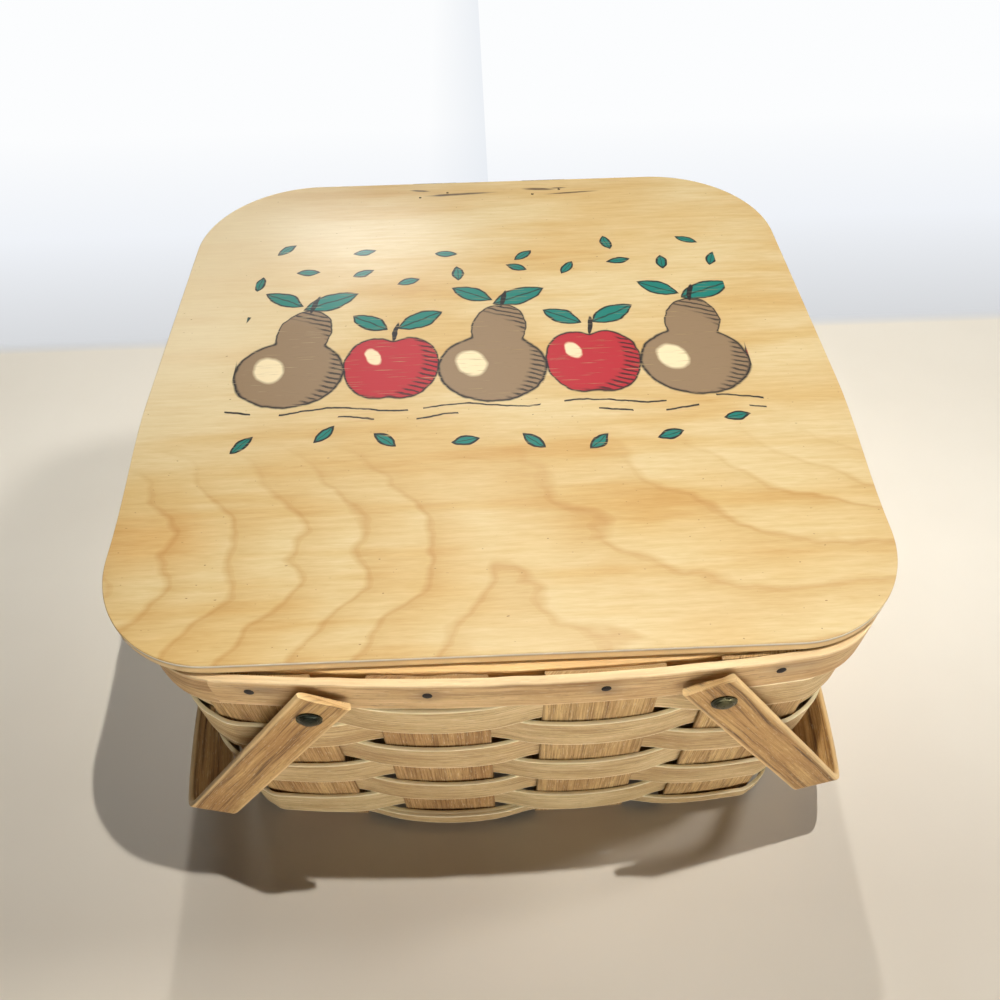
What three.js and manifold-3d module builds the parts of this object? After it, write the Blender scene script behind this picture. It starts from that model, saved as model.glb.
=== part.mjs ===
// Woven pie basket with a flat hinged lid and two swing handles.
// Sizes are in millimetres and +Z is up. The origin is the middle of the base, on the surface that
// the basket stands on. -Y is the front, where the lid lifts, and the hinges are at the back.

import * as THREE from 'three';
import { mergeVertices } from 'three/addons/utils/BufferGeometryUtils.js';
import Module from 'manifold-3d';

const wasm = await Module();
wasm.setup();

// Clearances
const seat = 0.3; // between two pieces that rest on each other
const overrun = 1; // how far a cutting tool passes what it cuts
const mergeDistance = 0.001; // corners closer than this are one corner

// Outline of the basket, outside the rim
const halfWidth = 153; // centre line to the middle of a side
const halfDepth = 166.7; // centre line to the middle of the front
const sideBowRadius = 950; // each side of the basket bows out a little
const cornerRadius = 42;

// The wall leans in from the rim's foot to the base, where its sides are flatter and its corners
// squarer
const baseSideLean = 8.5;
const baseEndLean = 7.7;
const baseBowRadius = 1100;
const baseCornerRadius = 21;

// Rim hoops
const rimHeight = 162.3;
const outerHoopHeight = 17.8;
const outerHoopThickness = 3.4;
const innerHoopHeight = 17.8;
const innerHoopThickness = 6;

// Splints, the broad strips that run down one wall, under the pie and up the other wall
const splintWidth = 44.5;
const splintThickness = 1.5;
const splintTopDrop = 0.5; // the strips end this far below the top of the rim
const innerPlaceShare = 0.21; // middle of an inner strip, as a share of half the basket
const outerPlaceShare = 0.63;
const floorBendRadius = 4; // inside of the turn from the floor to the wall
const floorStepMargin = 1.5; // a strip is level this far past the edge of one that it crosses

// Weavers, the narrow strips that go round, outside one splint and inside the next
const weaverRows = 7;
const lastWeaverShare = 0.42; // the lowest one is narrower, by this share
const weaverThickness = 1.8;
const weaverGap = 0.35; // between two rows
const weaverClearance = 0.45; // between a weaver and the edge of the splint that it passes
const weaverBelly = 1.5; // how much farther out it stands at the middle of a splint
const weaverHalfBelly = 1; // the same, halfway to the splint's edge

// Rim nails, one at the middle of each splint
const nailShankRadius = 0.9;
const nailHeadRadius = 2.4;
const nailHeadHeight = 0.9;
const nailDrop = 7; // below the top of the rim
const nailBite = 3.5; // into the piece that it holds in

// Handles, one flat bent strip each
const handlePivotShare = 0.495; // rivets, from the centre line, as a share of half the width
const handlePivotDrop = 15; // rivets, below the top of the rim
const handleFaceInset = 0.2; // the strip lies this far inside the front of the rim at its rivet
const handleToeShare = 0.03; // the strip leans in by this share of its length
const handleThickness = 2.8;
const handleWidth = 20.5;
const gripStandOff = 5.4; // middle of the grip, beyond the side of the rim, folded down
const gripHeight = 18; // middle of the grip, above the surface that the basket stands on
const handleArch = 33.4; // the grip bows out by this much more at its middle than at its ends
const handleArchPower = 3; // 2 would make the grip a parabola, and more makes it fuller at its ends
const handleBend = 9; // length of the turn between the arm and the grip
const handleTail = 13.5; // the strip runs this far past the rivet

// Handle rivets and their washers
const rivetShankRadius = 2;
const rivetHeadRadius = 5;
const rivetHeadHeight = 2;
const rivetTailRadius = 3.3;
const rivetTailHeight = 1.2;
const washerRadius = 4.6;
const washerThickness = 1;

// Lid
const lidSideOverhang = 6; // past the side of the rim
const lidEndInset = 6.2; // half the lid's depth is this much less than half the basket's
const lidCornerRadius = 62;
const lidThickness = 5.7;
const lidEdgeRound = 0.8;
const lidShiftSideways = -3.3; // the lid lies a little left of the middle
const lidShiftBack = 2.7;

// Hinges, two small butt hinges at the back
const hingePlace = 33; // middle of a hinge, from the centre line
const hingeWidth = 26;
const hingeKnuckleWidth = 10; // the middle knuckle
const hingeLeafThickness = 1;
const hingeBarrelRadius = 2.1;
const hingePinRadius = 1;
const hingePinHeadRadius = 1.7;
const hingePinHeadHeight = 0.8;
const hingeLidLeafLength = 25;
const hingeRimLeafLength = 14;
const hingeNailRadius = 0.9;
const hingeNailHeadRadius = 1.8;
const hingeNailHeadHeight = 0.8;
const hingeNailSpread = 8; // nails, from the middle of the hinge
const hingeLidNailInset = 3; // outer lid nail, from the free end of the leaf
const hingeLidNailStagger = 4.5; // the other lid nail is farther back by this much
const hingeRimNailDrop = 9; // rim nails, below the top of the rim

// How finely round things are faceted
const bendSteps = 3;
const cornerSteps = 5;
const gripSteps = 12;
const boreSides = 12;
const headSides = 12;
const nailSides = 6;
const lidCornerSteps = 9;

// Finishes
const barkTan = 0xb08a58;
const paleStraw = 0xd9bd8c;
const hoopStraw = 0xd6b47e;
const ashBrown = 0xa97a48;
const birchHoney = 0xe0bd80;
const agedBrass = 0x4d4433;
const darkIron = 0x3b3a3c;

const splintWood = { color: barkTan, roughness: 0.75, metalness: 0 };
const weaverWood = { color: paleStraw, roughness: 0.7, metalness: 0 };
const hoopWood = { color: hoopStraw, roughness: 0.65, metalness: 0 };
const handleWood = { color: ashBrown, roughness: 0.6, metalness: 0 };
const lidWood = { color: birchHoney, roughness: 0.45, metalness: 0 };
const rivetBrass = { color: agedBrass, roughness: 0.4, metalness: 0.9 };
const nailIron = { color: darkIron, roughness: 0.5, metalness: 0.8 };

// Places worked out from the sizes above
const halfSplint = splintWidth / 2;
const lengthInnerPlace = innerPlaceShare * halfWidth;
const lengthOuterPlace = outerPlaceShare * halfWidth;
const crossInnerPlace = innerPlaceShare * halfDepth;
const crossOuterPlace = outerPlaceShare * halfDepth;
const hoopFoot = rimHeight - outerHoopHeight;
const splintMiddleDepth = outerHoopThickness + seat + splintThickness / 2;
const hoopGap = splintThickness / 2 + seat;
const wallHalfWidth = halfWidth - splintMiddleDepth;
const wallHalfDepth = halfDepth - splintMiddleDepth;
const lowLevel = splintThickness / 2;
const highLevel = lowLevel + splintThickness + seat;
const floorTurn = floorBendRadius + splintThickness / 2;
const wallFoot = lowLevel + floorTurn;
const weaverTop = hoopFoot - seat;
const weaverPitch = (weaverTop - wallFoot) / (weaverRows - 1 + lastWeaverShare);
const weaverEdgeSwing = splintThickness / 2 + weaverThickness / 2 + weaverClearance;
const pivotHeight = rimHeight - handlePivotDrop;
const handlePivotPlace = handlePivotShare * halfWidth;
const handleFace = halfDepth - handleFaceInset;
const gripDrop = pivotHeight - gripHeight;
const gripRun = halfWidth + gripStandOff - handlePivotPlace;
const handleCornerReach = Math.hypot(gripDrop, gripRun) - handleArch; // rivet to the grip's ends
const restTurn = Math.atan2(gripDrop, gripRun); // the folded handle hangs this far below level
const lidHalfWidth = halfWidth + lidSideOverhang;
const lidHalfDepth = halfDepth - lidEndInset;
const rivetHoleRadius = rivetShankRadius + seat;
const nailHeight = rimHeight - nailDrop;
const lidBottom = rimHeight + seat;
const lidTop = lidBottom + lidThickness;
const rimLeafFace = halfDepth + seat / 2;
const hingeAxisHeight = lidBottom + hingeLeafThickness / 2;
const hingeAxisDepth = rimLeafFace + seat + hingeBarrelRadius;

const quarterTurn = Math.PI / 2;
const down = new THREE.Vector3(0, 0, -1);
const right = new THREE.Vector3(1, 0, 0);
const back = new THREE.Vector3(0, 1, 0);
const forward = new THREE.Vector3(0, -1, 0);

// Closed bodies

function addQuad(index, a, b, c, d) {
  index.push(a, b, c, a, c, d);
}

// Volume inside a closed mesh: negative when its faces point inwards.
function signedVolume(positions, index) {
  const corner = [new THREE.Vector3(), new THREE.Vector3(), new THREE.Vector3()];
  let total = 0;
  for (let i = 0; i < index.length; i += 3) {
    corner.forEach((point, k) => point.fromArray(positions, 3 * index[i + k]));
    total += corner[0].dot(corner[1].cross(corner[2])) / 6;
  }
  return total;
}

// Joins sections into a closed body. A section runs along one face of a strip and then back along
// the other face. A ring of sections closes on itself, and an open run gets two ends.
function loft(sections, isRing) {
  const count = sections[0].length;
  const positions = sections.flat(2);
  const index = [];
  const steps = isRing ? sections.length : sections.length - 1;
  for (let row = 0; row < steps; row += 1) {
    const here = row * count;
    const next = ((row + 1) % sections.length) * count;
    for (let i = 0; i < count; i += 1) {
      const j = (i + 1) % count;
      addQuad(index, here + i, here + j, next + j, next + i);
    }
  }
  if (!isRing) {
    const end = (sections.length - 1) * count;
    for (let i = 0; i < count / 2 - 1; i += 1) {
      const far = count - 1 - i;
      addQuad(index, i + 1, i, far, far - 1);
      addQuad(index, end + i, end + i + 1, end + far - 1, end + far);
    }
  }
  if (signedVolume(positions, index) < 0) {
    index.reverse();
  }
  const geometry = new THREE.BufferGeometry();
  geometry.setAttribute('position', new THREE.Float32BufferAttribute(positions, 3));
  geometry.setIndex(index);
  return geometry;
}

function toSolid(geometry) {
  const bare = geometry.clone();
  bare.deleteAttribute('normal');
  bare.deleteAttribute('uv');
  const merged = mergeVertices(bare, mergeDistance);
  return new wasm.Manifold(
    new wasm.Mesh({
      numProp: 3,
      vertProperties: new Float32Array(merged.getAttribute('position').array),
      triVerts: new Uint32Array(merged.getIndex().array),
    }),
  );
}

function toGeometry(solid) {
  const mesh = solid.getMesh();
  const geometry = new THREE.BufferGeometry();
  geometry.setAttribute('position', new THREE.Float32BufferAttribute(mesh.vertProperties, 3));
  geometry.setIndex(new THREE.Uint32BufferAttribute(mesh.triVerts, 1));
  return geometry;
}

function cut(geometry, tools) {
  let solid = toSolid(geometry);
  tools.forEach((tool) => {
    solid = solid.subtract(toSolid(tool));
  });
  return toGeometry(solid);
}

function join(geometries) {
  let solid = toSolid(geometries[0]);
  geometries.slice(1).forEach((geometry) => {
    solid = solid.add(toSolid(geometry));
  });
  return toGeometry(solid);
}

function boxBetween(lowX, lowY, lowZ, highX, highY, highZ) {
  const box = new THREE.BoxGeometry(highX - lowX, highY - lowY, highZ - lowZ);
  return box.translate((lowX + highX) / 2, (lowY + highY) / 2, (lowZ + highZ) / 2);
}

// Stands a shape that rises along +Y on a point, along a direction.
function aimed(geometry, base, direction) {
  const turn = new THREE.Quaternion().setFromUnitVectors(back, direction);
  return geometry.applyQuaternion(turn).translate(base.x, base.y, base.z);
}

// A round bar between two points.
function bar(radius, from, to, sides) {
  const run = to.clone().sub(from);
  const shape = new THREE.CylinderGeometry(radius, radius, run.length(), sides);
  return aimed(shape.translate(0, run.length() / 2, 0), from, run.clone().normalize());
}

// A turned shape about +Y, from pairs of radius and height that start and end on the axis.
function turned(profile, sides) {
  const points = profile.map(([radius, height]) => new THREE.Vector2(radius, height));
  return new THREE.LatheGeometry(points, sides);
}

// Outline of the wall

// The outline has four side arcs of the bow radius and four corner arcs, which meet smoothly.
// Each arc keeps its centre, its radius and the two directions that the wall faces at its ends.
function bowedOutline(halfX, halfY, bow, corner) {
  const pastX = bow - halfX;
  const pastY = bow - halfY;
  const reach = bow - corner;
  const slope = pastX / pastY;
  const rise = (pastX * pastX - pastY * pastY) / (2 * pastY) + pastY;
  const squares = 1 + slope * slope;
  const inside = slope * slope * rise * rise - squares * (rise * rise - reach * reach);
  const cornerX = (Math.sqrt(inside) - slope * rise) / squares;
  const cornerY = slope * cornerX + rise - pastY;
  const endTurn = Math.atan2(cornerX, cornerY + pastY);
  const sideTurn = Math.atan2(cornerY, cornerX + pastX);
  const half = Math.PI;
  const arcs = [
    { x: 0, y: pastY, radius: bow, from: -quarterTurn - endTurn, to: -quarterTurn + endTurn },
    { x: cornerX, y: -cornerY, radius: corner, from: -quarterTurn + endTurn, to: -sideTurn },
    { x: -pastX, y: 0, radius: bow, from: -sideTurn, to: sideTurn },
    { x: cornerX, y: cornerY, radius: corner, from: sideTurn, to: quarterTurn - endTurn },
    { x: 0, y: -pastY, radius: bow, from: quarterTurn - endTurn, to: quarterTurn + endTurn },
    { x: -cornerX, y: cornerY, radius: corner, from: quarterTurn + endTurn, to: half - sideTurn },
    { x: pastX, y: 0, radius: bow, from: half - sideTurn, to: half + sideTurn },
    { x: -cornerX, y: -cornerY, radius: corner, from: half + sideTurn, to: half + quarterTurn - endTurn },
  ];
  return { arcs, bow, corner, cornerX, cornerY, endTurn, sideTurn };
}

// Share of the way from one value to another.
function between(from, to, share) {
  return from + share * (to - from);
}

// Outline of the middle of the wall at a height. It is the same behind the hoops, and below them
// it narrows and squares up towards the base.
function outlineAt(height) {
  const share = Math.max(0, hoopFoot - height) / hoopFoot;
  return bowedOutline(
    between(wallHalfWidth, wallHalfWidth - baseSideLean, share),
    between(wallHalfDepth, wallHalfDepth - baseEndLean, share),
    between(sideBowRadius - splintMiddleDepth, baseBowRadius, share),
    between(cornerRadius - splintMiddleDepth, baseCornerRadius, share),
  );
}

// Point of an outline that faces a direction, moved out by an offset.
function outlinePoint(outline, facing, offset) {
  const whole = facing < outline.arcs[0].from ? facing + 2 * Math.PI : facing;
  const arc = outline.arcs.find((each) => whole <= each.to);
  const radius = arc.radius + offset;
  return { x: arc.x + radius * Math.cos(whole), y: arc.y + radius * Math.sin(whole) };
}

// How far the wall has turned from facing straight out, at a place along one side of the basket.
function turnAt(outline, isEndWall, place) {
  const limit = isEndWall ? outline.endTurn : outline.sideTurn;
  const cornerPlace = isEndWall ? outline.cornerX : outline.cornerY;
  const along = Math.abs(place);
  const onBow = along < outline.bow * Math.sin(limit);
  const sine = onBow ? along / outline.bow : (along - cornerPlace) / outline.corner;
  return Math.sign(place) * Math.asin(sine);
}

// The four walls in the order of a walk round the basket that starts at the front left corner.
// Places run along that walk, from the middle of each wall.
const walls = [
  { facing: -quarterTurn, isEndWall: true, inner: lengthInnerPlace, outer: lengthOuterPlace },
  { facing: 0, isEndWall: false, inner: crossInnerPlace, outer: crossOuterPlace },
  { facing: quarterTurn, isEndWall: true, inner: lengthInnerPlace, outer: lengthOuterPlace },
  { facing: 2 * quarterTurn, isEndWall: false, inner: crossInnerPlace, outer: crossOuterPlace },
];

function placesOn(wall) {
  return [-wall.outer, -wall.inner, wall.inner, wall.outer];
}

const acrossShares = [-1, -1 / 2, 0, 1 / 2, 1];

// Stations round an outline. There are five across each splint, and some more between the last
// splint of a wall and the first one of the next wall. A station's sign is -1 where the first row
// passes inside a splint and 1 where it passes outside, and it changes evenly round a corner.
function stationsOn(outline) {
  const crossings = walls.flatMap((wall) =>
    placesOn(wall).map((place) =>
      acrossShares.map(
        (share) => wall.facing + turnAt(outline, wall.isEndWall, place + share * halfSplint),
      ),
    ),
  );
  return crossings.flatMap((facings, number) => {
    const next = crossings[(number + 1) % crossings.length];
    const last = facings[facings.length - 1];
    const nextFacing = number + 1 < crossings.length ? next[0] : next[0] + 2 * Math.PI;
    const sign = number % 2 === 0 ? -1 : 1;
    const steps = (number + 1) % walls.length === 0 ? cornerSteps : 1;
    const list = facings.map((facing, i) => ({ facing, sign, across: Math.abs(acrossShares[i]) }));
    for (let step = 1; step < steps; step += 1) {
      const share = step / steps;
      const facing = last + share * (nextFacing - last);
      list.push({ facing, sign: sign * (1 - 2 * share), across: 1 });
    }
    return list;
  });
}

// One end of a band's section: a point on its outer face and one on its inner face.
function bandEdge(outline, facing, outside, inside, height) {
  return [outside, inside].map((offset) => {
    const point = outlinePoint(outline, facing, offset);
    return [point.x, point.y, height];
  });
}

// Pieces of the basket

// A hoop between two offsets from the middle of the wall.
function hoop(outside, inside, height) {
  const outline = outlineAt(rimHeight);
  const sections = stationsOn(outline).map(({ facing }) => [
    ...bandEdge(outline, facing, outside, inside, rimHeight),
    ...bandEdge(outline, facing, outside, inside, rimHeight - height).reverse(),
  ]);
  return loft(sections, true);
}

// Distance of a weaver from the middle of the wall, at a station.
function weaverSwing(across) {
  if (across === 1) {
    return weaverEdgeSwing;
  }
  return weaverEdgeSwing + (across === 0 ? weaverBelly : weaverHalfBelly);
}

function weaver(row) {
  const top = weaverTop - row * weaverPitch;
  const isLast = row === weaverRows - 1;
  const foot = top - weaverPitch * (isLast ? lastWeaverShare : 1) + weaverGap;
  const rowSign = row % 2 === 0 ? 1 : -1;
  const half = weaverThickness / 2;
  const edgesAt = (height) => {
    const outline = outlineAt(height);
    return stationsOn(outline).map(({ facing, sign, across }) => {
      const swing = rowSign * sign * weaverSwing(across);
      return bandEdge(outline, facing, swing + half, swing - half, height);
    });
  };
  const tops = edgesAt(top);
  const feet = edgesAt(foot);
  return loft(tops.map((edge, i) => [...edge, ...feet[i].reverse()]), true);
}

// Middle line of one column of a splint on a wall, and the direction that it faces there. The
// strip runs along the second axis, and the column stays at one place across.
function wallColumn(isEndWall, place, height) {
  const outline = outlineAt(height);
  const turn = turnAt(outline, isEndWall, place);
  const facing = isEndWall ? quarterTurn - turn : turn;
  const point = outlinePoint(outline, facing, 0);
  return { along: isEndWall ? point.y : point.x, turn };
}

// A splint from the top of one wall, down, across the floor and up the opposite wall. Its level
// on the floor steps up and down as it crosses the splints that run the other way.
function splint(isEndWall, place, number) {
  const crossed = isEndWall ? walls[1] : walls[0];
  const columns = acrossShares.map((share) => place + share * halfSplint);
  const half = splintThickness / 2;
  const wallHeights = [rimHeight - splintTopDrop, hoopFoot, (hoopFoot + wallFoot) / 2, wallFoot];

  const section = (end, pointOf) => {
    const points = columns.map(pointOf);
    const face = (side) =>
      points.map(({ across, along, height, normal }) => [
        across + side * half * normal[0],
        end * (along + side * half * normal[1]),
        height + side * half * normal[2],
      ]);
    return [...face(1), ...face(-1).reverse()];
  };
  const wallSection = (end, height) =>
    section(end, (across) => {
      const { along, turn } = wallColumn(isEndWall, across, height);
      return { across, along, height, normal: [Math.sin(turn), Math.cos(turn), 0] };
    });
  const bendSection = (end, angle) =>
    section(end, (across) => {
      const { along, turn } = wallColumn(isEndWall, across, wallFoot);
      const level = Math.sin(angle);
      return {
        across,
        along: along - floorTurn * (1 - level),
        height: wallFoot - floorTurn * Math.cos(angle),
        normal: [level * Math.sin(turn), level * Math.cos(turn), -Math.cos(angle)],
      };
    });
  const floorSection = (along, height) =>
    section(1, (across) => ({ across, along, height, normal: [0, 0, -1] }));

  const wallOf = (end) => [
    ...wallHeights.map((height) => wallSection(end, height)),
    ...Array.from({ length: bendSteps }, (_, i) =>
      bendSection(end, quarterTurn * (1 - (i + 1) / bendSteps)),
    ),
  ];
  const floor = placesOn(crossed).flatMap((crossing, crossingNumber) => {
    const isHigh = (number + crossingNumber) % 2 === (isEndWall ? 0 : 1);
    const height = isHigh ? highLevel : lowLevel;
    const reach = halfSplint + floorStepMargin;
    return [floorSection(crossing - reach, height), floorSection(crossing + reach, height)];
  });
  const geometry = loft([...wallOf(-1), ...floor, ...wallOf(1).reverse()], false);
  return isEndWall ? geometry : swappedAxes(geometry);
}

// The same body with its first two axes swapped.
function swappedAxes(geometry) {
  const swap = new THREE.Matrix4().set(0, 1, 0, 0, 1, 0, 0, 0, 0, 0, 1, 0, 0, 0, 0, 1);
  geometry.applyMatrix4(swap);
  const index = Array.from(geometry.getIndex().array).reverse();
  geometry.setIndex(index);
  return geometry;
}

// A nail from under its head, which rises from 0 along +Y while the shank goes down.
function nail(shankRadius, headRadius, headHeight, length) {
  const edge = headHeight / 3;
  return turned(
    [
      [0, -length],
      [shankRadius, -length],
      [shankRadius, 0],
      [headRadius, 0],
      [headRadius, edge],
      [headRadius / 2, headHeight],
      [0, headHeight],
    ],
    nailSides,
  );
}

// Rim nails: where they are, which way they point and how far they go in.
function rimNailPlaces() {
  const outline = outlineAt(rimHeight);
  return walls.flatMap((wall) => {
    const isBack = wall.facing === quarterTurn;
    const places = isBack ? [-wall.outer, wall.outer] : placesOn(wall);
    return places.map((place) => {
      const facing = wall.facing + turnAt(outline, wall.isEndWall, place);
      const point = outlinePoint(outline, facing, splintMiddleDepth + seat);
      const outward = new THREE.Vector3(Math.cos(facing), Math.sin(facing), 0);
      return { head: new THREE.Vector3(point.x, point.y, nailHeight), outward };
    });
  });
}

const rimNailLength = seat + splintMiddleDepth + hoopGap + nailBite;

function rimNailBore({ head, outward }) {
  const from = head.clone().addScaledVector(outward, overrun);
  const to = head.clone().addScaledVector(outward, -rimNailLength - seat);
  return bar(nailShankRadius + seat, from, to, nailSides);
}

// A handle lies flat in its own plane. Its first axis runs along the arms from the rivets, its
// second axis runs front to back, and the strip's width is along the third.
function handle() {
  const middleFace = handleFace + handleThickness / 2;
  const armPlace = (along) => middleFace - handleToeShare * along;
  const cornerAlong = handleCornerReach;
  const cornerPlace = armPlace(cornerAlong);
  const fallOff = (place) => Math.abs(place / cornerPlace) ** handleArchPower;
  const gripAlong = (place) => cornerAlong + handleArch * (1 - fallOff(place));
  const armEnd = cornerAlong - handleBend;
  const gripEnd = cornerPlace - handleBend;
  const turn = new THREE.QuadraticBezierCurve(
    new THREE.Vector2(armEnd, armPlace(armEnd)),
    new THREE.Vector2(gripAlong(cornerPlace), cornerPlace),
    new THREE.Vector2(gripAlong(gripEnd), gripEnd),
  );
  const grip = Array.from({ length: gripSteps / 2 }, (_, i) => {
    const place = gripEnd * (1 - (2 * (i + 1)) / gripSteps);
    return new THREE.Vector2(gripAlong(place), place);
  });
  const half = [
    new THREE.Vector2(-handleTail, armPlace(-handleTail)),
    ...turn.getPoints(bendSteps * 2),
    ...grip,
  ];
  const mirrored = half
    .slice(0, -1)
    .reverse()
    .map((point) => new THREE.Vector2(point.x, -point.y));
  const shape = new THREE.Shape(stripOutline([...half, ...mirrored], handleThickness));
  const strip = new THREE.ExtrudeGeometry(shape, { depth: handleWidth, bevelEnabled: false });
  strip.translate(0, 0, -handleWidth / 2);
  const reach = middleFace + handleThickness;
  const bore = bar(
    rivetHoleRadius,
    new THREE.Vector3(0, -reach, 0),
    new THREE.Vector3(0, reach, 0),
    boreSides,
  );
  return cut(strip, [bore]);
}

// Both edges of a strip of one thickness along a line of points.
function stripOutline(line, thickness) {
  const edge = (side) =>
    line.map((point, i) => {
      const before = line[Math.max(i - 1, 0)];
      const after = line[Math.min(i + 1, line.length - 1)];
      const ahead = after.clone().sub(point).normalize();
      const behind = point.clone().sub(before).normalize();
      const along = ahead.clone().add(behind).normalize();
      const open = Math.max(along.dot(ahead), along.dot(behind));
      const shift = (side * thickness) / 2 / open;
      return new THREE.Vector2(point.x - along.y * shift, point.y + along.x * shift);
    });
  return [...edge(1), ...edge(-1).reverse()];
}

// A rivet stands along +Y from the outside of the strap. Its shank goes down through the wall to
// the washer, and its tail is spread behind that.
function rivet(wallDepth) {
  const washerBack = -wallDepth - seat - washerThickness;
  const tailFace = washerBack - seat;
  return turned(
    [
      [0, tailFace - rivetTailHeight],
      [rivetTailRadius / 2, tailFace - rivetTailHeight],
      [rivetTailRadius, tailFace],
      [rivetShankRadius, tailFace],
      [rivetShankRadius, seat],
      [rivetHeadRadius, seat],
      [rivetHeadRadius * Math.cos(quarterTurn / 3), seat + rivetHeadHeight / 2],
      [rivetHeadRadius / 2, seat + rivetHeadHeight * Math.sin((2 * quarterTurn) / 3)],
      [0, seat + rivetHeadHeight],
    ],
    headSides,
  );
}

function washer(wallDepth) {
  const front = -wallDepth - seat;
  const rearFace = front - washerThickness;
  return turned(
    [
      [rivetHoleRadius, rearFace],
      [washerRadius, rearFace],
      [washerRadius, front],
      [rivetHoleRadius, front],
      [rivetHoleRadius, rearFace],
    ],
    headSides,
  );
}

// Lid and hinges

function lidBlank() {
  const x = lidHalfWidth - lidEdgeRound;
  const y = lidHalfDepth - lidEdgeRound;
  const r = lidCornerRadius - lidEdgeRound;
  const shape = new THREE.Shape();
  shape.moveTo(x, y - r);
  shape.absarc(x - r, y - r, r, 0, quarterTurn, false);
  shape.absarc(r - x, y - r, r, quarterTurn, 2 * quarterTurn, false);
  shape.absarc(r - x, r - y, r, 2 * quarterTurn, -quarterTurn, false);
  shape.absarc(x - r, r - y, r, -quarterTurn, 0, false);
  const blank = new THREE.ExtrudeGeometry(shape, {
    depth: lidThickness - 2 * lidEdgeRound,
    bevelThickness: lidEdgeRound,
    bevelSize: lidEdgeRound,
    bevelSegments: 1,
    curveSegments: lidCornerSteps,
  });
  return blank.translate(lidShiftSideways, lidShiftBack, lidBottom + lidEdgeRound);
}

const lidLeafFront = hingeAxisDepth - hingeLidLeafLength;
const leafTop = lidBottom + hingeLeafThickness;
const knuckleReach = hingeBarrelRadius + seat;
const sideKnuckleWidth = (hingeWidth - hingeKnuckleWidth) / 2 - seat;

function hingeBore(middle) {
  const reach = hingeWidth / 2 + overrun;
  const from = new THREE.Vector3(middle - reach, hingeAxisDepth, hingeAxisHeight);
  const to = new THREE.Vector3(middle + reach, hingeAxisDepth, hingeAxisHeight);
  return bar(hingePinRadius + seat, from, to, boreSides);
}

function knuckle(from, to) {
  return bar(
    hingeBarrelRadius,
    new THREE.Vector3(from, hingeAxisDepth, hingeAxisHeight),
    new THREE.Vector3(to, hingeAxisDepth, hingeAxisHeight),
    boreSides,
  );
}

// The two nails of a lid leaf come up through the leaf and the lid, and end in the lid's top.
function lidNailPlaces(middle) {
  const depth = lidLeafFront + hingeLidNailInset;
  return [
    new THREE.Vector3(middle - hingeNailSpread, depth, lidBottom - seat),
    new THREE.Vector3(middle + hingeNailSpread, depth + hingeLidNailStagger, lidBottom - seat),
  ];
}

function lidNailBore(head) {
  const from = head.clone().addScaledVector(down, overrun);
  const to = head.clone().setZ(lidTop + overrun);
  return bar(hingeNailRadius + seat, from, to, nailSides);
}

function rimLeafNailPlaces(middle) {
  const depth = rimLeafFace + hingeLeafThickness + seat;
  const height = rimHeight - hingeRimNailDrop;
  return [-hingeNailSpread, hingeNailSpread].map(
    (spread) => new THREE.Vector3(middle + spread, depth, height),
  );
}

function rimLeafNailBore(head) {
  const from = head.clone().addScaledVector(back, overrun);
  const to = head.clone().addScaledVector(forward, rimLeafNailLength + seat);
  return bar(hingeNailRadius + seat, from, to, nailSides);
}

const rimLeafNailLength = hingeLeafThickness + outerHoopThickness;

function lidLeaf(middle) {
  const halfHinge = hingeWidth / 2;
  const halfKnuckle = hingeKnuckleWidth / 2;
  const plateBack = hingeAxisDepth - knuckleReach;
  const plate = boxBetween(
    middle - halfHinge, lidLeafFront, lidBottom,
    middle + halfHinge, plateBack, leafTop,
  );
  const tongue = boxBetween(
    middle - halfKnuckle, plateBack - overrun, lidBottom,
    middle + halfKnuckle, hingeAxisDepth, leafTop,
  );
  const leaf = join([plate, tongue, knuckle(middle - halfKnuckle, middle + halfKnuckle)]);
  return cut(leaf, [hingeBore(middle), ...lidNailPlaces(middle).map(lidNailBore)]);
}

function rimLeaf(middle) {
  const halfHinge = hingeWidth / 2;
  const plateTop = hingeAxisHeight - knuckleReach;
  const plateBack = rimLeafFace + hingeLeafThickness;
  const plate = boxBetween(
    middle - halfHinge, rimLeafFace, rimHeight - hingeRimLeafLength,
    middle + halfHinge, plateBack, plateTop,
  );
  const ears = [-1, 1].flatMap((side) => {
    const outer = middle + side * halfHinge;
    const inner = outer - side * sideKnuckleWidth;
    const low = Math.min(outer, inner);
    const high = Math.max(outer, inner);
    const ear = boxBetween(
      low, rimLeafFace, plateTop - overrun, high, plateBack, hingeAxisHeight - hingeBarrelRadius / 2,
    );
    return [ear, knuckle(low, high)];
  });
  const leaf = join([plate, ...ears]);
  return cut(leaf, [hingeBore(middle), ...rimLeafNailPlaces(middle).map(rimLeafNailBore)]);
}

function hingePin(middle) {
  const inner = hingeWidth / 2 + seat;
  const outer = inner + hingePinHeadHeight;
  const pin = turned(
    [
      [0, -outer],
      [hingePinHeadRadius, -outer],
      [hingePinHeadRadius, -inner],
      [hingePinRadius, -inner],
      [hingePinRadius, inner],
      [hingePinHeadRadius, inner],
      [hingePinHeadRadius, outer],
      [0, outer],
    ],
    boreSides,
  );
  return aimed(pin, new THREE.Vector3(middle, hingeAxisDepth, hingeAxisHeight), right);
}

function lidMortise(middle) {
  const halfHinge = hingeWidth / 2 + seat;
  return boxBetween(
    middle - halfHinge, lidLeafFront - seat, lidBottom - overrun,
    middle + halfHinge, lidShiftBack + lidHalfDepth + overrun, leafTop + seat,
  );
}

// Assembly

const basket = new THREE.Group();
basket.name = 'pie_basket';

function add(name, geometry, finish) {
  const mesh = new THREE.Mesh(geometry, new THREE.MeshStandardMaterial(finish));
  mesh.name = name;
  basket.add(mesh);
  return mesh;
}

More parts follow.
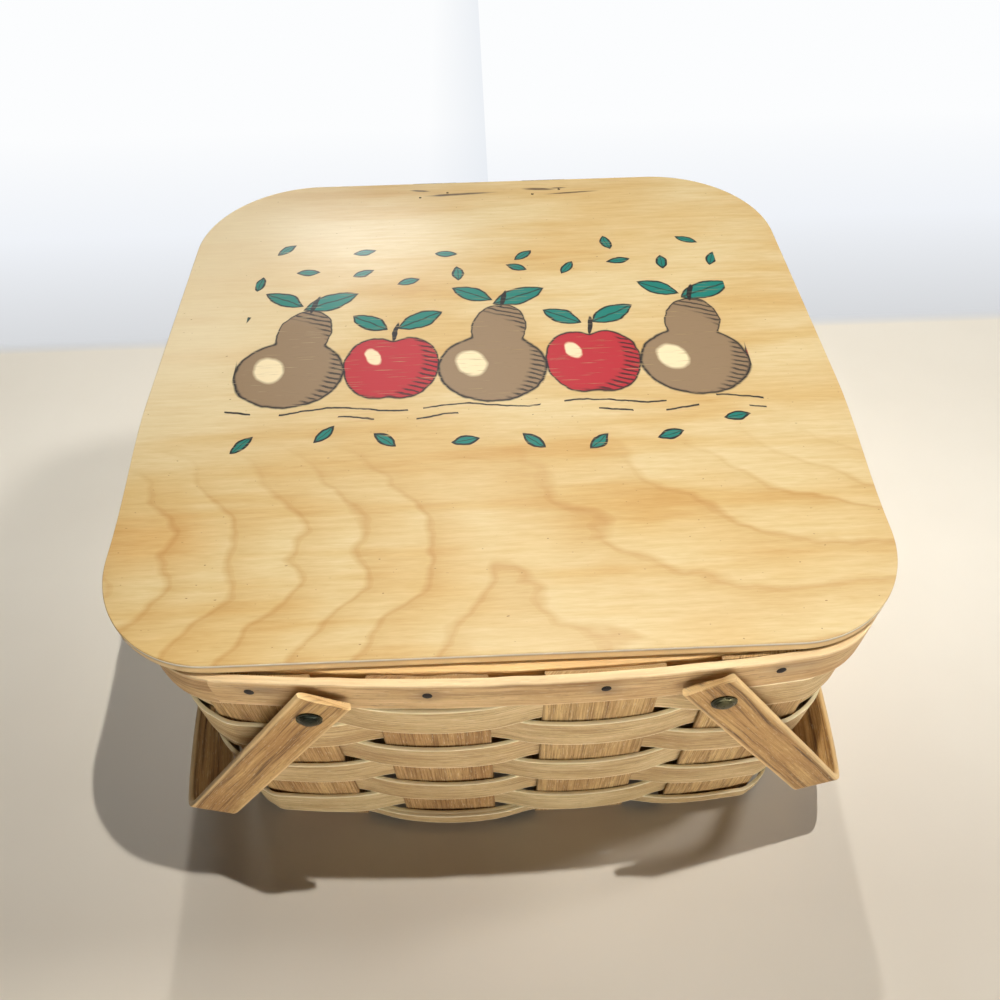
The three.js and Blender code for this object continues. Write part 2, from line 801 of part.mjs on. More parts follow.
function stand(mesh, base, direction) {
  mesh.position.copy(base);
  mesh.quaternion.setFromUnitVectors(back, direction);
}

const corners = [
  { name: 'left_front', side: -1, end: -1 },
  { name: 'right_front', side: 1, end: -1 },
  { name: 'right_back', side: 1, end: 1 },
  { name: 'left_back', side: -1, end: 1 },
];

// From the outside of a handle's arm to the inside of the inner hoop, where it is thinnest under
// the washer.
function rivetDepth() {
  const outline = outlineAt(rimHeight);
  const turn = turnAt(outline, true, handlePivotPlace + washerRadius);
  const inside = outlinePoint(outline, quarterTurn - turn, -hoopGap - innerHoopThickness);
  return handleFace + handleThickness - inside.y;
}

function rivetPlace({ side, end }) {
  return new THREE.Vector3(
    side * handlePivotPlace, end * (handleFace + handleThickness), pivotHeight,
  );
}

const rivetTools = corners.map((corner) => {
  const outside = rivetPlace(corner);
  const inside = outside.clone().setY(corner.end * (halfDepth / 2));
  return bar(rivetHoleRadius, outside, inside, boreSides);
});

const nailPlaces = rimNailPlaces();
const nailTools = nailPlaces.map(rimNailBore);
const hingePlaces = [-hingePlace, hingePlace];
const rimLeafTools = hingePlaces.flatMap((middle) =>
  rimLeafNailPlaces(middle).map(rimLeafNailBore),
);

placesOn(walls[0]).forEach((place, i) => {
  const strip = cut(splint(true, place, i), [...nailTools, ...rivetTools]);
  add(`splint_lengthwise_${i + 1}`, strip, splintWood);
});
placesOn(walls[1]).forEach((place, i) => {
  add(`splint_crosswise_${i + 1}`, cut(splint(false, place, i), nailTools), splintWood);
});

for (let row = 0; row < weaverRows; row += 1) {
  add(`weaver_${row + 1}`, weaver(row), weaverWood);
}

const outerHoop = hoop(hoopGap + outerHoopThickness, hoopGap, outerHoopHeight);
const innerHoop = hoop(-hoopGap, -hoopGap - innerHoopThickness, innerHoopHeight);
add('rim_hoop_outer', cut(outerHoop, [...nailTools, ...rimLeafTools, ...rivetTools]), hoopWood);
add('rim_hoop_inner', cut(innerHoop, [...nailTools, ...rivetTools]), hoopWood);

nailPlaces.forEach(({ head, outward }, i) => {
  const piece = nail(nailShankRadius, nailHeadRadius, nailHeadHeight, rimNailLength);
  const mesh = add(`rim_nail_${String(i + 1).padStart(2, '0')}`, piece, nailIron);
  stand(mesh, head, outward);
});

[-1, 1].forEach((side) => {
  const mesh = add(side < 0 ? 'handle_left' : 'handle_right', handle(), handleWood);
  const alongArm = new THREE.Vector3(side * Math.cos(restTurn), 0, -Math.sin(restTurn));
  const acrossArm = alongArm.clone().cross(back);
  const basis = new THREE.Matrix4().makeBasis(alongArm, back, acrossArm);
  mesh.quaternion.setFromRotationMatrix(basis);
  mesh.position.set(side * handlePivotPlace, 0, pivotHeight);
});

corners.forEach((corner) => {
  const outward = new THREE.Vector3(0, corner.end, 0);
  stand(add(`rivet_${corner.name}`, rivet(rivetDepth()), rivetBrass), rivetPlace(corner), outward);
  stand(add(`washer_${corner.name}`, washer(rivetDepth()), rivetBrass), rivetPlace(corner), outward);
});

const lidTools = hingePlaces.flatMap((middle) => [
  lidMortise(middle),
  ...lidNailPlaces(middle).map(lidNailBore),
]);
add('lid', cut(lidBlank(), lidTools), lidWood);

const lidNailLength = lidTop - lidBottom + seat;
hingePlaces.forEach((middle) => {
  const hand = middle < 0 ? 'left' : 'right';
  add(`hinge_${hand}_lid_leaf`, lidLeaf(middle), nailIron);
  add(`hinge_${hand}_rim_leaf`, rimLeaf(middle), nailIron);
  add(`hinge_${hand}_pin`, hingePin(middle), nailIron);
  lidNailPlaces(middle).forEach((head, i) => {
    const piece = nail(hingeNailRadius, hingeNailHeadRadius, hingeNailHeadHeight, lidNailLength);
    stand(add(`hinge_${hand}_lid_nail_${i + 1}`, piece, nailIron), head, down);
  });
  rimLeafNailPlaces(middle).forEach((head, i) => {
    const piece = nail(
      hingeNailRadius, hingeNailHeadRadius, hingeNailHeadHeight, rimLeafNailLength,
    );
    stand(add(`hinge_${hand}_rim_nail_${i + 1}`, piece, nailIron), head, back);
  });
});

export default basket;
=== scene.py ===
# %% [markdown]
# A pie basket, dressed for a photograph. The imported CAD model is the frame: it says where every
# piece is and how it moves. Here each wooden strip is made again with the small things that the
# plain solids leave out, such as soft edges, lapped ends, uneven widths and torn tips.
# Lengths are written in millimetres and multiplied by MM, because Blender works in metres.

# %% The frame
import functools
import math

import bpy
import numpy as np
from mathutils import Matrix, Vector, noise


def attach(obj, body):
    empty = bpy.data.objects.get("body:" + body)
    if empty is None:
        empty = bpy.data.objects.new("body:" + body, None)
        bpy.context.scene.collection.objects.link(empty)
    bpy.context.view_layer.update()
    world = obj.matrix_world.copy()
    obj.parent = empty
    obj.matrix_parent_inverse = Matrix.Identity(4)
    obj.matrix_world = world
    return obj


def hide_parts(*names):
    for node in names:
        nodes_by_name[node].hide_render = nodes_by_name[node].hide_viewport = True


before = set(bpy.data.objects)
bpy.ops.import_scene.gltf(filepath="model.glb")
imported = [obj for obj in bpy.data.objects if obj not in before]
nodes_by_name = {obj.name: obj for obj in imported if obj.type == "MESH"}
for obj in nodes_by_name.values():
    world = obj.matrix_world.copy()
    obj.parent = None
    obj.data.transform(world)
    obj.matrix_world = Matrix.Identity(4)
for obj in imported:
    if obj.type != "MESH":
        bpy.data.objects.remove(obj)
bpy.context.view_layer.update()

MM = 0.001


# %% [markdown]
# The camera comes first, so that everything after it can be judged in the same view. It looks
# down on the basket from the front at about 50 degrees, a little to the left of the middle. Its
# place and turn were found by laying the CAD outlines over the photograph.

# %% Camera
def place_camera(place, yaw, pitch, roll, lens):
    yaw, pitch, roll = (math.radians(angle) for angle in (yaw, pitch, roll))
    ahead = Vector((-math.sin(yaw) * math.cos(pitch), math.cos(yaw) * math.cos(pitch), -math.sin(pitch)))
    level = Vector((math.cos(yaw), math.sin(yaw), 0))
    up = level.cross(ahead)
    right = math.cos(roll) * level + math.sin(roll) * up
    top = math.cos(roll) * up - math.sin(roll) * level
    turn = Matrix((right, top, -ahead)).transposed().to_4x4()
    bpy.ops.object.select_all(action="DESELECT")
    bpy.ops.object.camera_add()
    camera = bpy.context.object
    camera.name = "photo_camera"
    camera.matrix_world = Matrix.Translation(Vector(place) * MM) @ turn
    camera.data.lens = lens
    camera.data.sensor_width = 36
    camera.data.clip_start = 0.01
    camera.data.dof.use_dof = False
    bpy.context.scene.camera = camera
    return camera


camera = place_camera((-7.83, -305.7, 430.3), yaw=-1.28, pitch=50.09, roll=-1.17, lens=36 * 835 / 1000)
bpy.context.scene.view_settings.view_transform = "Standard"
print("camera at", [round(v, 3) for v in camera.matrix_world.translation])


# %% [markdown]
# Colours are picked as numbers from 0 to 255, as a paint chart gives them. Shader sockets
# want linear light, so one helper turns the one into the other. A material is a net of nodes. What
# a node gives out is kept as a Wire here, and sums and products of wires add the maths nodes, so
# that a finish reads like a short calculation.

# %% Colour and node helpers
def paint(red, green, blue):
    def linear(value):
        share = value / 255
        return share / 12.92 if share <= 0.04045 else ((share + 0.055) / 1.055) ** 2.4
    return (linear(red), linear(green), linear(blue), 1.0)


class Wire:
    tree = None  # the net of the material that is being made

    def __init__(self, socket):
        self.socket = socket

    def __add__(self, other):
        return maths("ADD", self, other)

    def __sub__(self, other):
        return maths("SUBTRACT", self, other)

    def __rsub__(self, other):
        return maths("SUBTRACT", other, self)

    def __mul__(self, other):
        return maths("MULTIPLY", self, other)

    def __truediv__(self, other):
        return maths("DIVIDE", self, other)


def plug(socket, value):
    # Links a wire to a socket, or sets a plain number or colour on it.
    if isinstance(value, Wire):
        Wire.tree.links.new(value.socket, socket)
    else:
        socket.default_value = value


def node(kind, inputs=None, out=0, **settings):
    made = Wire.tree.nodes.new("ShaderNode" + kind)
    for key, value in settings.items():
        setattr(made, key, value)
    for key, value in (inputs or {}).items():
        plug(made.inputs[key], value)
    return Wire(made.outputs[out])


def maths(operation, *values, clamp=False):
    return node("Math", dict(enumerate(values)), operation=operation, use_clamp=clamp)


def mix(share, first, second, kind="MIX"):
    return node("Mix", {0: share, 6: first, 7: second}, out=2, data_type="RGBA", blend_type=kind)


def span(value, low, high, to_low=0.0, to_high=1.0):
    return node("MapRange", {0: value, 1: low, 2: high, 3: to_low, 4: to_high})


def parts(vector):
    return [Wire(socket) for socket in node("SeparateXYZ", {0: vector}).socket.node.outputs]


def point(x, y, z=0.0):
    return node("CombineXYZ", {0: x, 1: y, 2: z})


def fuzz(place, scale, detail):
    return node("TexNoise", {"Vector": place, "Scale": scale, "Detail": detail})


def ramp(value, *stops):
    # A stop is a place and a grey, or a place and three numbers of paint.
    made = node("ValToRGB", {"Fac": value})
    elements = made.socket.node.color_ramp.elements
    while len(elements) < len(stops):
        elements.new(0.5)
    for element, (place, *tone) in zip(elements, stops):
        element.position = place
        element.color = paint(*tone) if len(tone) == 3 else (*(tone * 3), 1)
    return made


def new_material(name, colour, roughness):
    made = bpy.data.materials.new(name)
    made.use_nodes = True
    Wire.tree = made.node_tree
    shader = made.node_tree.nodes["Principled BSDF"]
    shader.inputs["Base Color"].default_value = paint(*colour)
    shader.inputs["Roughness"].default_value = roughness
    made.diffuse_color = paint(*colour)
    return made, shader


def bumps(shader, height, strength, distance):
    made = node("Bump", {"Height": height, "Strength": strength, "Distance": distance * MM})
    plug(shader.inputs["Normal"], made)
    return made


def dress(pieces, finish):
    for piece in pieces:
        piece.data.materials.clear()
        piece.data.materials.append(finish)


def start_afresh():
    bpy.ops.object.select_all(action="DESELECT")


def edit(editing):
    bpy.ops.object.mode_set(mode="EDIT" if editing else "OBJECT")


def take_all():
    bpy.ops.mesh.select_all(action="SELECT")


def cube(place, size):
    # Place and size in metres.
    start_afresh()
    bpy.ops.mesh.primitive_cube_add(size=1, location=place)
    made = bpy.context.object
    made.scale = size
    bpy.ops.object.transform_apply(location=True, rotation=True, scale=True)
    return made


print("helpers ready: paint, Wire, node, maths, mix, span, ramp, bumps, dress, cube")


# %% [markdown]
# The basket stands on a pale beige table whose far edge ends just behind it. What lies beyond is
# white. One large plane holds both: its colour changes across a straight line on the floor. The
# white part glows by itself for the camera only, so that it doesn't add light to the basket. Both
# parts carry painted shade: the beige darkens towards the front, and the white darkens near the
# table's edge and in a faint bluish band beside a crease.

# %% Table and white ground
TABLE_EDGE = 230 * MM
CREASE = 4 * MM


def table_material():
    made, shader = new_material("table_top", (222, 214, 200), 0.62)
    place = node("TexCoord", out="Object")
    x, y, _ = parts(place)
    beige = ramp(fuzz(place, 5.0, 4.0), (0.3, 232, 224, 209), (0.7, 241, 234, 220))
    # The beige is painted darker towards the front: painted shade.
    beige = mix(span(y, 0.0, -0.20, 0.0, 0.7), beige, paint(206, 200, 194), "MULTIPLY")
    across = maths("DIVIDE", y - (TABLE_EDGE - 6 * MM), 14 * MM, clamp=True)
    # Left of the crease the white is painted darker and a little bluish: painted shade of a fold.
    from_crease = maths("DIVIDE", CREASE - x, 60 * MM, clamp=True)
    fade = maths("LESS_THAN", x, CREASE) * (1.0 - from_crease)
    far = maths("DIVIDE", y - TABLE_EDGE, 0.35, clamp=True)
    # The white is painted darker near the table's edge: painted shade.
    white = ramp(far, (0.0, 214, 216, 219), (0.45, 240, 243, 248), (1.0, 252, 253, 254))
    white = mix(fade * 0.5, white, paint(222, 228, 236))
    plug(shader.inputs["Base Color"], mix(across, beige, white))
    glow = node("Emission", {"Color": white, "Strength": 1.0})
    rays = [node("LightPath", out=f"Is {kind} Ray") for kind in ("Camera", "Glossy", "Transmission")]
    seen = maths("MAXIMUM", maths("MAXIMUM", rays[0], rays[1]), rays[2])
    mixed = node("MixShader", {0: seen * across, 1: Wire(shader.outputs[0]), 2: glow})
    plug(made.node_tree.nodes["Material Output"].inputs["Surface"], mixed)
    return made


start_afresh()
bpy.ops.mesh.primitive_plane_add(size=8, location=(0, 0, 0))
table = bpy.context.object
table.name = "table"
table.data.materials.append(table_material())
print("table edge at", TABLE_EDGE, "m")


# %% [markdown]
# Two small lamps make the two crisp shadows of the photograph: one almost overhead, and one high
# behind the basket. A window at the right lays a fainter, softer shadow to the left. A broad window
# low behind the basket draws the soft shine on the lid. A weak fill near the floor lights the woven
# front, and a narrow strip light above the camera lights the upward edges of the weavers. The
# world adds very little, so the shadows stay dark.

# %% Light
def add_lamp(name, place, aim, size, power, tint, tall=None, spread=180):
    start_afresh()
    bpy.ops.object.light_add(type="AREA", location=Vector(place))
    lamp = bpy.context.object
    lamp.name = name
    lamp.rotation_euler = (Vector(aim) - Vector(place)).to_track_quat("-Z", "Y").to_euler()
    lamp.data.shape = "RECTANGLE" if tall else "DISK"
    lamp.data.size, lamp.data.size_y = size, tall or size
    lamp.data.spread = math.radians(spread)
    lamp.data.energy = power
    lamp.data.color = tint
    return lamp


add_lamp("overhead_lamp", (0.118, -0.089, 0.86), (0.02, -0.02, 0.0), 0.012, 4.55, (1.0, 0.98, 0.94))
add_lamp("high_window", (-0.10, 2.45, 3.77), (0.0, 0.0, 0.1), 0.10, 45.0, (1.0, 1.0, 0.99))
add_lamp("side_window", (3.8, 1.0, 3.9), (0.0, 0.0, 0.1), 0.75, 92.0, (1.0, 0.99, 0.97))
add_lamp("low_window", (-0.60, 2.53, 1.74), (0.0, 0.0, 0.1), 1.0, 13.0, (0.97, 0.99, 1.0))
add_lamp("front_fill", (0.5, -1.25, 0.06), (0.0, 0.0, 0.09), 2.2, 11.0, (1.0, 0.98, 0.95), tall=0.1)
add_lamp("front_strip", (0.0, -0.66, 0.52), (0.0, -0.15, 0.115), 0.34, 0.035, (1.0, 0.98, 0.93), tall=0.03, spread=18)
world = bpy.data.worlds.new("studio_world")
bpy.context.scene.world = world
world.use_nodes = True
world.node_tree.nodes["Background"].inputs["Color"].default_value = paint(243, 244, 247)
world.node_tree.nodes["Background"].inputs["Strength"].default_value = 0.03


# %% [markdown]
# A basket like this is drawn from its plan: four sides that bow out a little, joined by round
# corners. The plan is widest behind the rim and gets smaller and squarer towards the base. The
# same plan is worked out here as in the CAD source, so that each strip lies where its solid is.

# %% Plan of the wall
QUARTER = math.pi / 2
RIM_HEIGHT, HOOP_HEIGHT = 162.3, 17.8
OUTER_HOOP_THICKNESS, INNER_HOOP_THICKNESS, SEAT = 3.4, 6.0, 0.3
SPLINT_WIDTH, SPLINT_THICKNESS = 44.5, 1.5
HALF_WIDTH, HALF_DEPTH, SIDE_BOW, RIM_CORNER = 153, 166.7, 950, 42
HOOP_FOOT = RIM_HEIGHT - HOOP_HEIGHT
HOOP_GAP = SPLINT_THICKNESS / 2 + SEAT
MIDDLE_DEPTH = OUTER_HOOP_THICKNESS + SEAT + SPLINT_THICKNESS / 2


@functools.lru_cache(maxsize=None)
def plan_at(height):
    share = max(0.0, HOOP_FOOT - height) / HOOP_FOOT
    rim = [size - MIDDLE_DEPTH for size in (HALF_WIDTH, HALF_DEPTH, SIDE_BOW, RIM_CORNER)]
    base = (rim[0] - 8.5, rim[1] - 7.7, 1100, 21)
    half_x, half_y, bow, corner = (a + share * (b - a) for a, b in zip(rim, base))
    past_x, past_y, reach = bow - half_x, bow - half_y, bow - corner
    slope = past_x / past_y
    rise = (past_x**2 - past_y**2) / (2 * past_y) + past_y
    squares = 1 + slope**2
    root = math.sqrt(slope**2 * rise**2 - squares * (rise**2 - reach**2))
    x = (root - slope * rise) / squares
    y = slope * x + rise - past_y
    end, side = math.atan2(x, y + past_y), math.atan2(y, x + past_x)
    arcs = (
        (0, past_y, bow, -QUARTER - end, -QUARTER + end), (x, -y, corner, -QUARTER + end, -side),
        (-past_x, 0, bow, -side, side), (x, y, corner, side, QUARTER - end),
        (0, -past_y, bow, QUARTER - end, QUARTER + end), (-x, y, corner, QUARTER + end, math.pi - side),
        (past_x, 0, bow, math.pi - side, math.pi + side),
        (-x, -y, corner, math.pi + side, math.pi + QUARTER - end),
    )
    return {"arcs": arcs, "bow": bow, "corner": corner, "x": x, "y": y, "end": end, "side": side}


def plan_point(plan, facing, offset):
    start = plan["arcs"][0][3]
    whole = start + (facing - start) % (2 * math.pi)
    x, y, radius = next((arc[:3] for arc in plan["arcs"] if whole <= arc[4]), plan["arcs"][-1][:3])
    return x + (radius + offset) * math.cos(whole), y + (radius + offset) * math.sin(whole)


def turn_at(plan, is_end_wall, place):
    limit = plan["end"] if is_end_wall else plan["side"]
    corner_place = plan["x"] if is_end_wall else plan["y"]
    along = abs(place)
    on_bow = along < plan["bow"] * math.sin(limit)
    sine = along / plan["bow"] if on_bow else (along - corner_place) / plan["corner"]
    return math.copysign(math.asin(sine), place)


LONG_PLACES = tuple(share * HALF_WIDTH for share in (-0.63, -0.21, 0.21, 0.63))
CROSS_PLACES = tuple(share * HALF_DEPTH for share in (-0.63, -0.21, 0.21, 0.63))
WALLS = ((-QUARTER, True, LONG_PLACES), (0.0, False, CROSS_PLACES),
         (QUARTER, True, LONG_PLACES), (2 * QUARTER, False, CROSS_PLACES))


@functools.lru_cache(maxsize=None)
def crossing_facings(height):
    plan = plan_at(height)
    return [wall[0] + turn_at(plan, wall[1], place + share * SPLINT_WIDTH / 2)
            for wall in WALLS for place in wall[2] for share in (-1, 0, 1)]


def facing_at(walk, height):
    facings = crossing_facings(height)
    knot = math.floor(walk)
    first = facings[knot % 48] + 2 * math.pi * (knot // 48)
    second = facings[(knot + 1) % 48] + 2 * math.pi * ((knot + 1) // 48)
    return first + (walk - knot) * (second - first)


print("plan at rim and base:", round(plan_at(RIM_HEIGHT)["corner"], 1), round(plan_at(0)["corner"], 1))


# %% [markdown]
# Every wooden part here is a strip: long, thin, with edges that are soft from handling. A strip
# could be a box that is bent, but a bent box keeps hard edges and its grain doesn't follow it. So
# a flat grid is rolled round the strip's section at each place along the way, and its UV map
# keeps the length along the strip and the way round it in metres. The grain then runs along it.

# %% How a strip is rolled
def section_ring(half_width, half_thickness, radius, inset=1.4):
    # Pairs of across and through, and how near the edge each is.
    ring = []
    radius = min(radius, 0.95 * half_thickness)
    corners = ((1, 1), (-1, 1), (-1, -1), (1, -1))
    for number, (a, t) in enumerate(corners):
        start = number * QUARTER
        for step in range(3):
            angle = start + step * QUARTER / 2
            ring.append((a * (half_width - radius) + radius * math.cos(angle),
                         t * (half_thickness - radius) + radius * math.sin(angle), 1.0))
        if number in (0, 2):
            for share in (1, 0.5, 0, -0.5, -1):
                across = share * (half_width - inset) if abs(share) == 1 else share * half_width
                ring.append((a * across, t * half_thickness, 0.0))
    return ring


def lengths_along(line):
    return np.concatenate(([0], np.cumsum(np.linalg.norm(np.diff(line, axis=0), axis=1))))


def rolled_strip(name, sections, ring, piece, stains=None):
    # sections: one ring of points in millimetres for each place along the strip. ring: its pattern.
    rows, around = len(sections), len(sections[0])
    start_afresh()
    bpy.ops.mesh.primitive_grid_add(x_subdivisions=rows - 1, y_subdivisions=around, size=1)
    strip = bpy.context.object
    strip.name = strip.data.name = name
    mesh = strip.data
    flat = np.empty(len(mesh.vertices) * 3)
    mesh.vertices.foreach_get("co", flat)
    flat = flat.reshape(-1, 3)
    row = np.rint((flat[:, 0] + 0.5) * (rows - 1)).astype(int)
    column = np.rint((flat[:, 1] + 0.5) * around).astype(int)
    points = np.array(sections, float) * MM
    mesh.vertices.foreach_set("co", points[row, column % around].ravel())
    halfway = points[rows // 2]
    along, round_way = lengths_along(points.mean(1)), lengths_along(np.vstack((halfway, halfway[:1])))
    edges = np.array(ring)[:, 2]
    corner = np.empty(len(mesh.loops), int)
    mesh.loops.foreach_get("vertex_index", corner)
    grain = np.stack((along[row[corner]], round_way[column[corner]]), 1)
    mesh.uv_layers[0].data.foreach_set("uv", grain.ravel())
    for title, values in (
            ("edge", edges[column % around]), ("piece", np.full(len(row), piece)),
            ("stain", np.zeros(len(row)) if stains is None else np.array(stains)[row, column % around])):
        mesh.attributes.new(title, "FLOAT", "POINT").data.foreach_set("value", values.astype(float))
    edit(True)
    take_all()
    bpy.ops.mesh.remove_doubles(threshold=0.002 * MM)
    bpy.ops.mesh.fill_holes(sides=0)
    take_all()
    bpy.ops.mesh.normals_make_consistent(inside=False)
    edit(False)
    bpy.ops.object.shade_smooth_by_angle(angle=math.radians(30))
    return strip


def wander(*place):
    # A smooth random number from about -1 to 1, the same on every run.
    return noise.noise(Vector(place))


print("a strip's section has", len(section_ring(10, 1, 0.5)), "points round it")


# %% [markdown]
# The uprights are broad, brown splints of split ash. Each one runs down one wall, under the pie
# and up the other wall, in one piece. On the floor they cross each other over and under.

# %% Splints
FLOOR_TURN = 4 + SPLINT_THICKNESS / 2
LOW_LEVEL = SPLINT_THICKNESS / 2
HIGH_LEVEL = LOW_LEVEL + SPLINT_THICKNESS + SEAT
WALL_FOOT = LOW_LEVEL + FLOOR_TURN


def wall_place(is_end_wall, across, height):
    plan = plan_at(height)
    turn = turn_at(plan, is_end_wall, across)
    x, y = plan_point(plan, QUARTER - turn if is_end_wall else turn, 0)
    return (y if is_end_wall else x), turn


def splint(name, is_end_wall, place, number, piece):
    ring = section_ring(SPLINT_WIDTH / 2 - 0.2, SPLINT_THICKNESS / 2, 0.5)
    crossed = WALLS[1][2] if is_end_wall else WALLS[0][2]

    def wall_ring(end, height, top=False):
        # Between the hoop and the base the splint is crowned outwards, as the weavers pull it.
        points = []
        fade = min(1.0, max(0.0, (HOOP_FOOT - height) / 9)) * min(1.0, max(0.0, (height - WALL_FOOT) / 14))
        for across, through, _ in ring:
            through = through + 1.15 * fade * (1 - (2 * across / SPLINT_WIDTH) ** 2)
            level = height + (1.6 * wander(across * 0.35, end * 3.1, piece) - 0.7 if top else 0)
            along, turn = wall_place(is_end_wall, place + across, height)
            points.append((place + across + through * math.sin(turn), end * (along + through * math.cos(turn)), level))
        return points

    def bend_ring(end, angle):
        points = []
        level = math.sin(angle)
        for across, through, _ in ring:
            along, turn = wall_place(is_end_wall, place + across, WALL_FOOT)
            along -= FLOOR_TURN * (1 - level)
            points.append((place + across + through * level * math.sin(turn),
                           end * (along + through * level * math.cos(turn)),
                           WALL_FOOT - FLOOR_TURN * math.cos(angle) - through * math.cos(angle)))
        return points

    def floor_ring(along, height):
        return [(place + across, along, height - through) for across, through, _ in ring]

    shares = (0, 0.03, 0.065, 0.15, 0.3, 0.45, 0.6, 0.75, 0.9, 1)
    heights = [RIM_HEIGHT - 0.5, RIM_HEIGHT - 3.5] + [HOOP_FOOT + share * (WALL_FOOT - HOOP_FOOT) for share in shares]
    bends = [QUARTER * (1 - (i + 1) / 5) for i in range(5)]
    near, far = ([wall_ring(end, h, i == 0) for i, h in enumerate(heights)] + [bend_ring(end, b) for b in bends]
                 for end in (-1, 1))
    floor = []
    levels = [HIGH_LEVEL if (number + i) % 2 == (0 if is_end_wall else 1) else LOW_LEVEL for i in range(4)]
    for i, crossing in enumerate(crossed):
        reach = SPLINT_WIDTH / 2 + 1.5
        floor += [floor_ring(crossing - reach, levels[i]), floor_ring(crossing + reach, levels[i])]
        if i < 3:
            start, stop = crossing + reach, crossed[i + 1] - reach
            for share in (0.25, 0.5, 0.75):
                ease = share * share * (3 - 2 * share)
                level = levels[i] + ease * (levels[i + 1] - levels[i])
                floor.append(floor_ring(start + share * (stop - start), level))
    sections = near + floor + far[::-1]
    if not is_end_wall:
        sections = [[(y, x, z) for x, y, z in section] for section in sections]
    return rolled_strip(name, sections, ring, piece)


splints = []
for i, place in enumerate(WALLS[0][2]):
    splints.append(splint(f"splint_long_{i + 1}", True, place, i, 1.3 + i))
    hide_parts(f"splint_lengthwise_{i + 1}")
for i, place in enumerate(WALLS[1][2]):
    splints.append(splint(f"splint_cross_{i + 1}", False, place, i, 7.9 + i))
    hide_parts(f"splint_crosswise_{i + 1}")
print("splints:", len(splints), "faces each:", len(splints[0].data.polygons))


# %% [markdown]
# The weavers are pale, narrow strips that go round the basket, outside one splint and inside the
# next. They stand away from a splint in its middle, which draws the row of smiles that shows in
# the photograph. Each weaver is one open strip, and its second end lies over its first one.

# %% Weavers
WEAVER_TOP = HOOP_FOOT - SEAT
LAST_SHARE = 0.42
WEAVER_PITCH = (WEAVER_TOP - WALL_FOOT) / (6 + LAST_SHARE)
EDGE_SWING, BELLY = 1.95, 1.3


def swing_at(walk):
    # Way out from the middle of the wall, in millimetres, for a row that starts outside.
    crossing, part = divmod(walk % 48, 3)
    side = -1 if int(crossing) % 2 == 0 else 1
    if part <= 2:
        return side * (EDGE_SWING + BELLY * (1 - (part - 1) ** 2))
    share = part - 2
    slope = -2 * BELLY * 0.8
    ease = (2 * share**3 - 3 * share**2 + 1) - (3 * share**2 - 2 * share**3)
    return side * (EDGE_SWING * ease + slope * ((share**3 - 2 * share**2 + share) + (share**3 - share**2)))


def walk_list(start, stop):
    # Places for the sections: close together where the strip curves.
    places, walk = [], start
    while walk < stop:
        places.append(walk)
        part = walk % 3
        at_corner = (walk % 12) > 11
        walk += 1 / 14 if at_corner else (1 / 4 if part >= 2 else 1 / 6)
    return places + [stop]


def weaver(name, row, start, piece):
    top = WEAVER_TOP - row * WEAVER_PITCH
    tall = WEAVER_PITCH * (LAST_SHARE if row == 6 else 1) - 0.35
    middle = top - tall / 2
    half = tall / 2 - 0.08
    ring = section_ring(half, 0.85, 0.3, inset=0.8)
    side = 1 if row % 2 == 0 else -1
    lap = 5.2
    sections = []
    for walk in walk_list(start, start + 48 + lap):
        gone, left = walk - start, start + 48 + lap - walk
        over = min(1.0, max(0.0, (gone - 47.2) / 1.2))
        shift = 1.65 * over * (3 * over - 2 * over * over)
        taper = 1 - 0.10 * max(0.0, 1 - left / 0.5) - 0.10 * max(0.0, 1 - gone / 0.5)
        lift = 0.28 * wander(walk * 0.33, row * 5.7, piece)
        grow = 0.985 + 0.02 * wander(walk * 0.21, row * 3.3, 9.1)
        tip = 0.4 * wander(walk * 0.4, 4.2, row * 2.9)
        swing = side * swing_at(walk)
        section = []
        for across, through, _ in ring:
            height = middle + lift + across * grow * taper
            ragged = 0.0
            if gone == 0 or left <= 1e-9:
                ragged = 0.03 * wander(across * 0.5, piece, 3.0)
            offset = swing + shift + through + tip * across / half
            x, y = plan_point(plan_at(round(height, 1)), facing_at(walk + ragged, round(height, 1)), offset)
            section.append((x, y, height))
        sections.append(section)
    return rolled_strip(name, sections, ring, piece)


weavers = []
LAP_STARTS = (0.9, 17.2, 28.4, 33.1, 21.0, 41.3, 1.9)
for row in range(7):
    weavers.append(weaver(f"weaver_strip_{row + 1}", row, LAP_STARTS[row], 21.7 + 3.1 * row))
    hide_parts(f"weaver_{row + 1}")
print("weavers:", len(weavers), "faces each:", len(weavers[0].data.polygons))


# %% [markdown]
# Two hoops clamp the splint tips: a thin one outside and a thick one inside. Each is a strip that
# is bent round and skived at both ends, so that the lap is no thicker than the rest.

# %% Rim hoops
def pinch(walk):
    # The two hoops come closer where no splint lies between them, most of all at the corners.
    part = walk % 3
    return (0.75 if walk % 12 > 11 else 0.3) * math.sin(math.pi * (part - 2)) ** 2 if part > 2 else 0.0


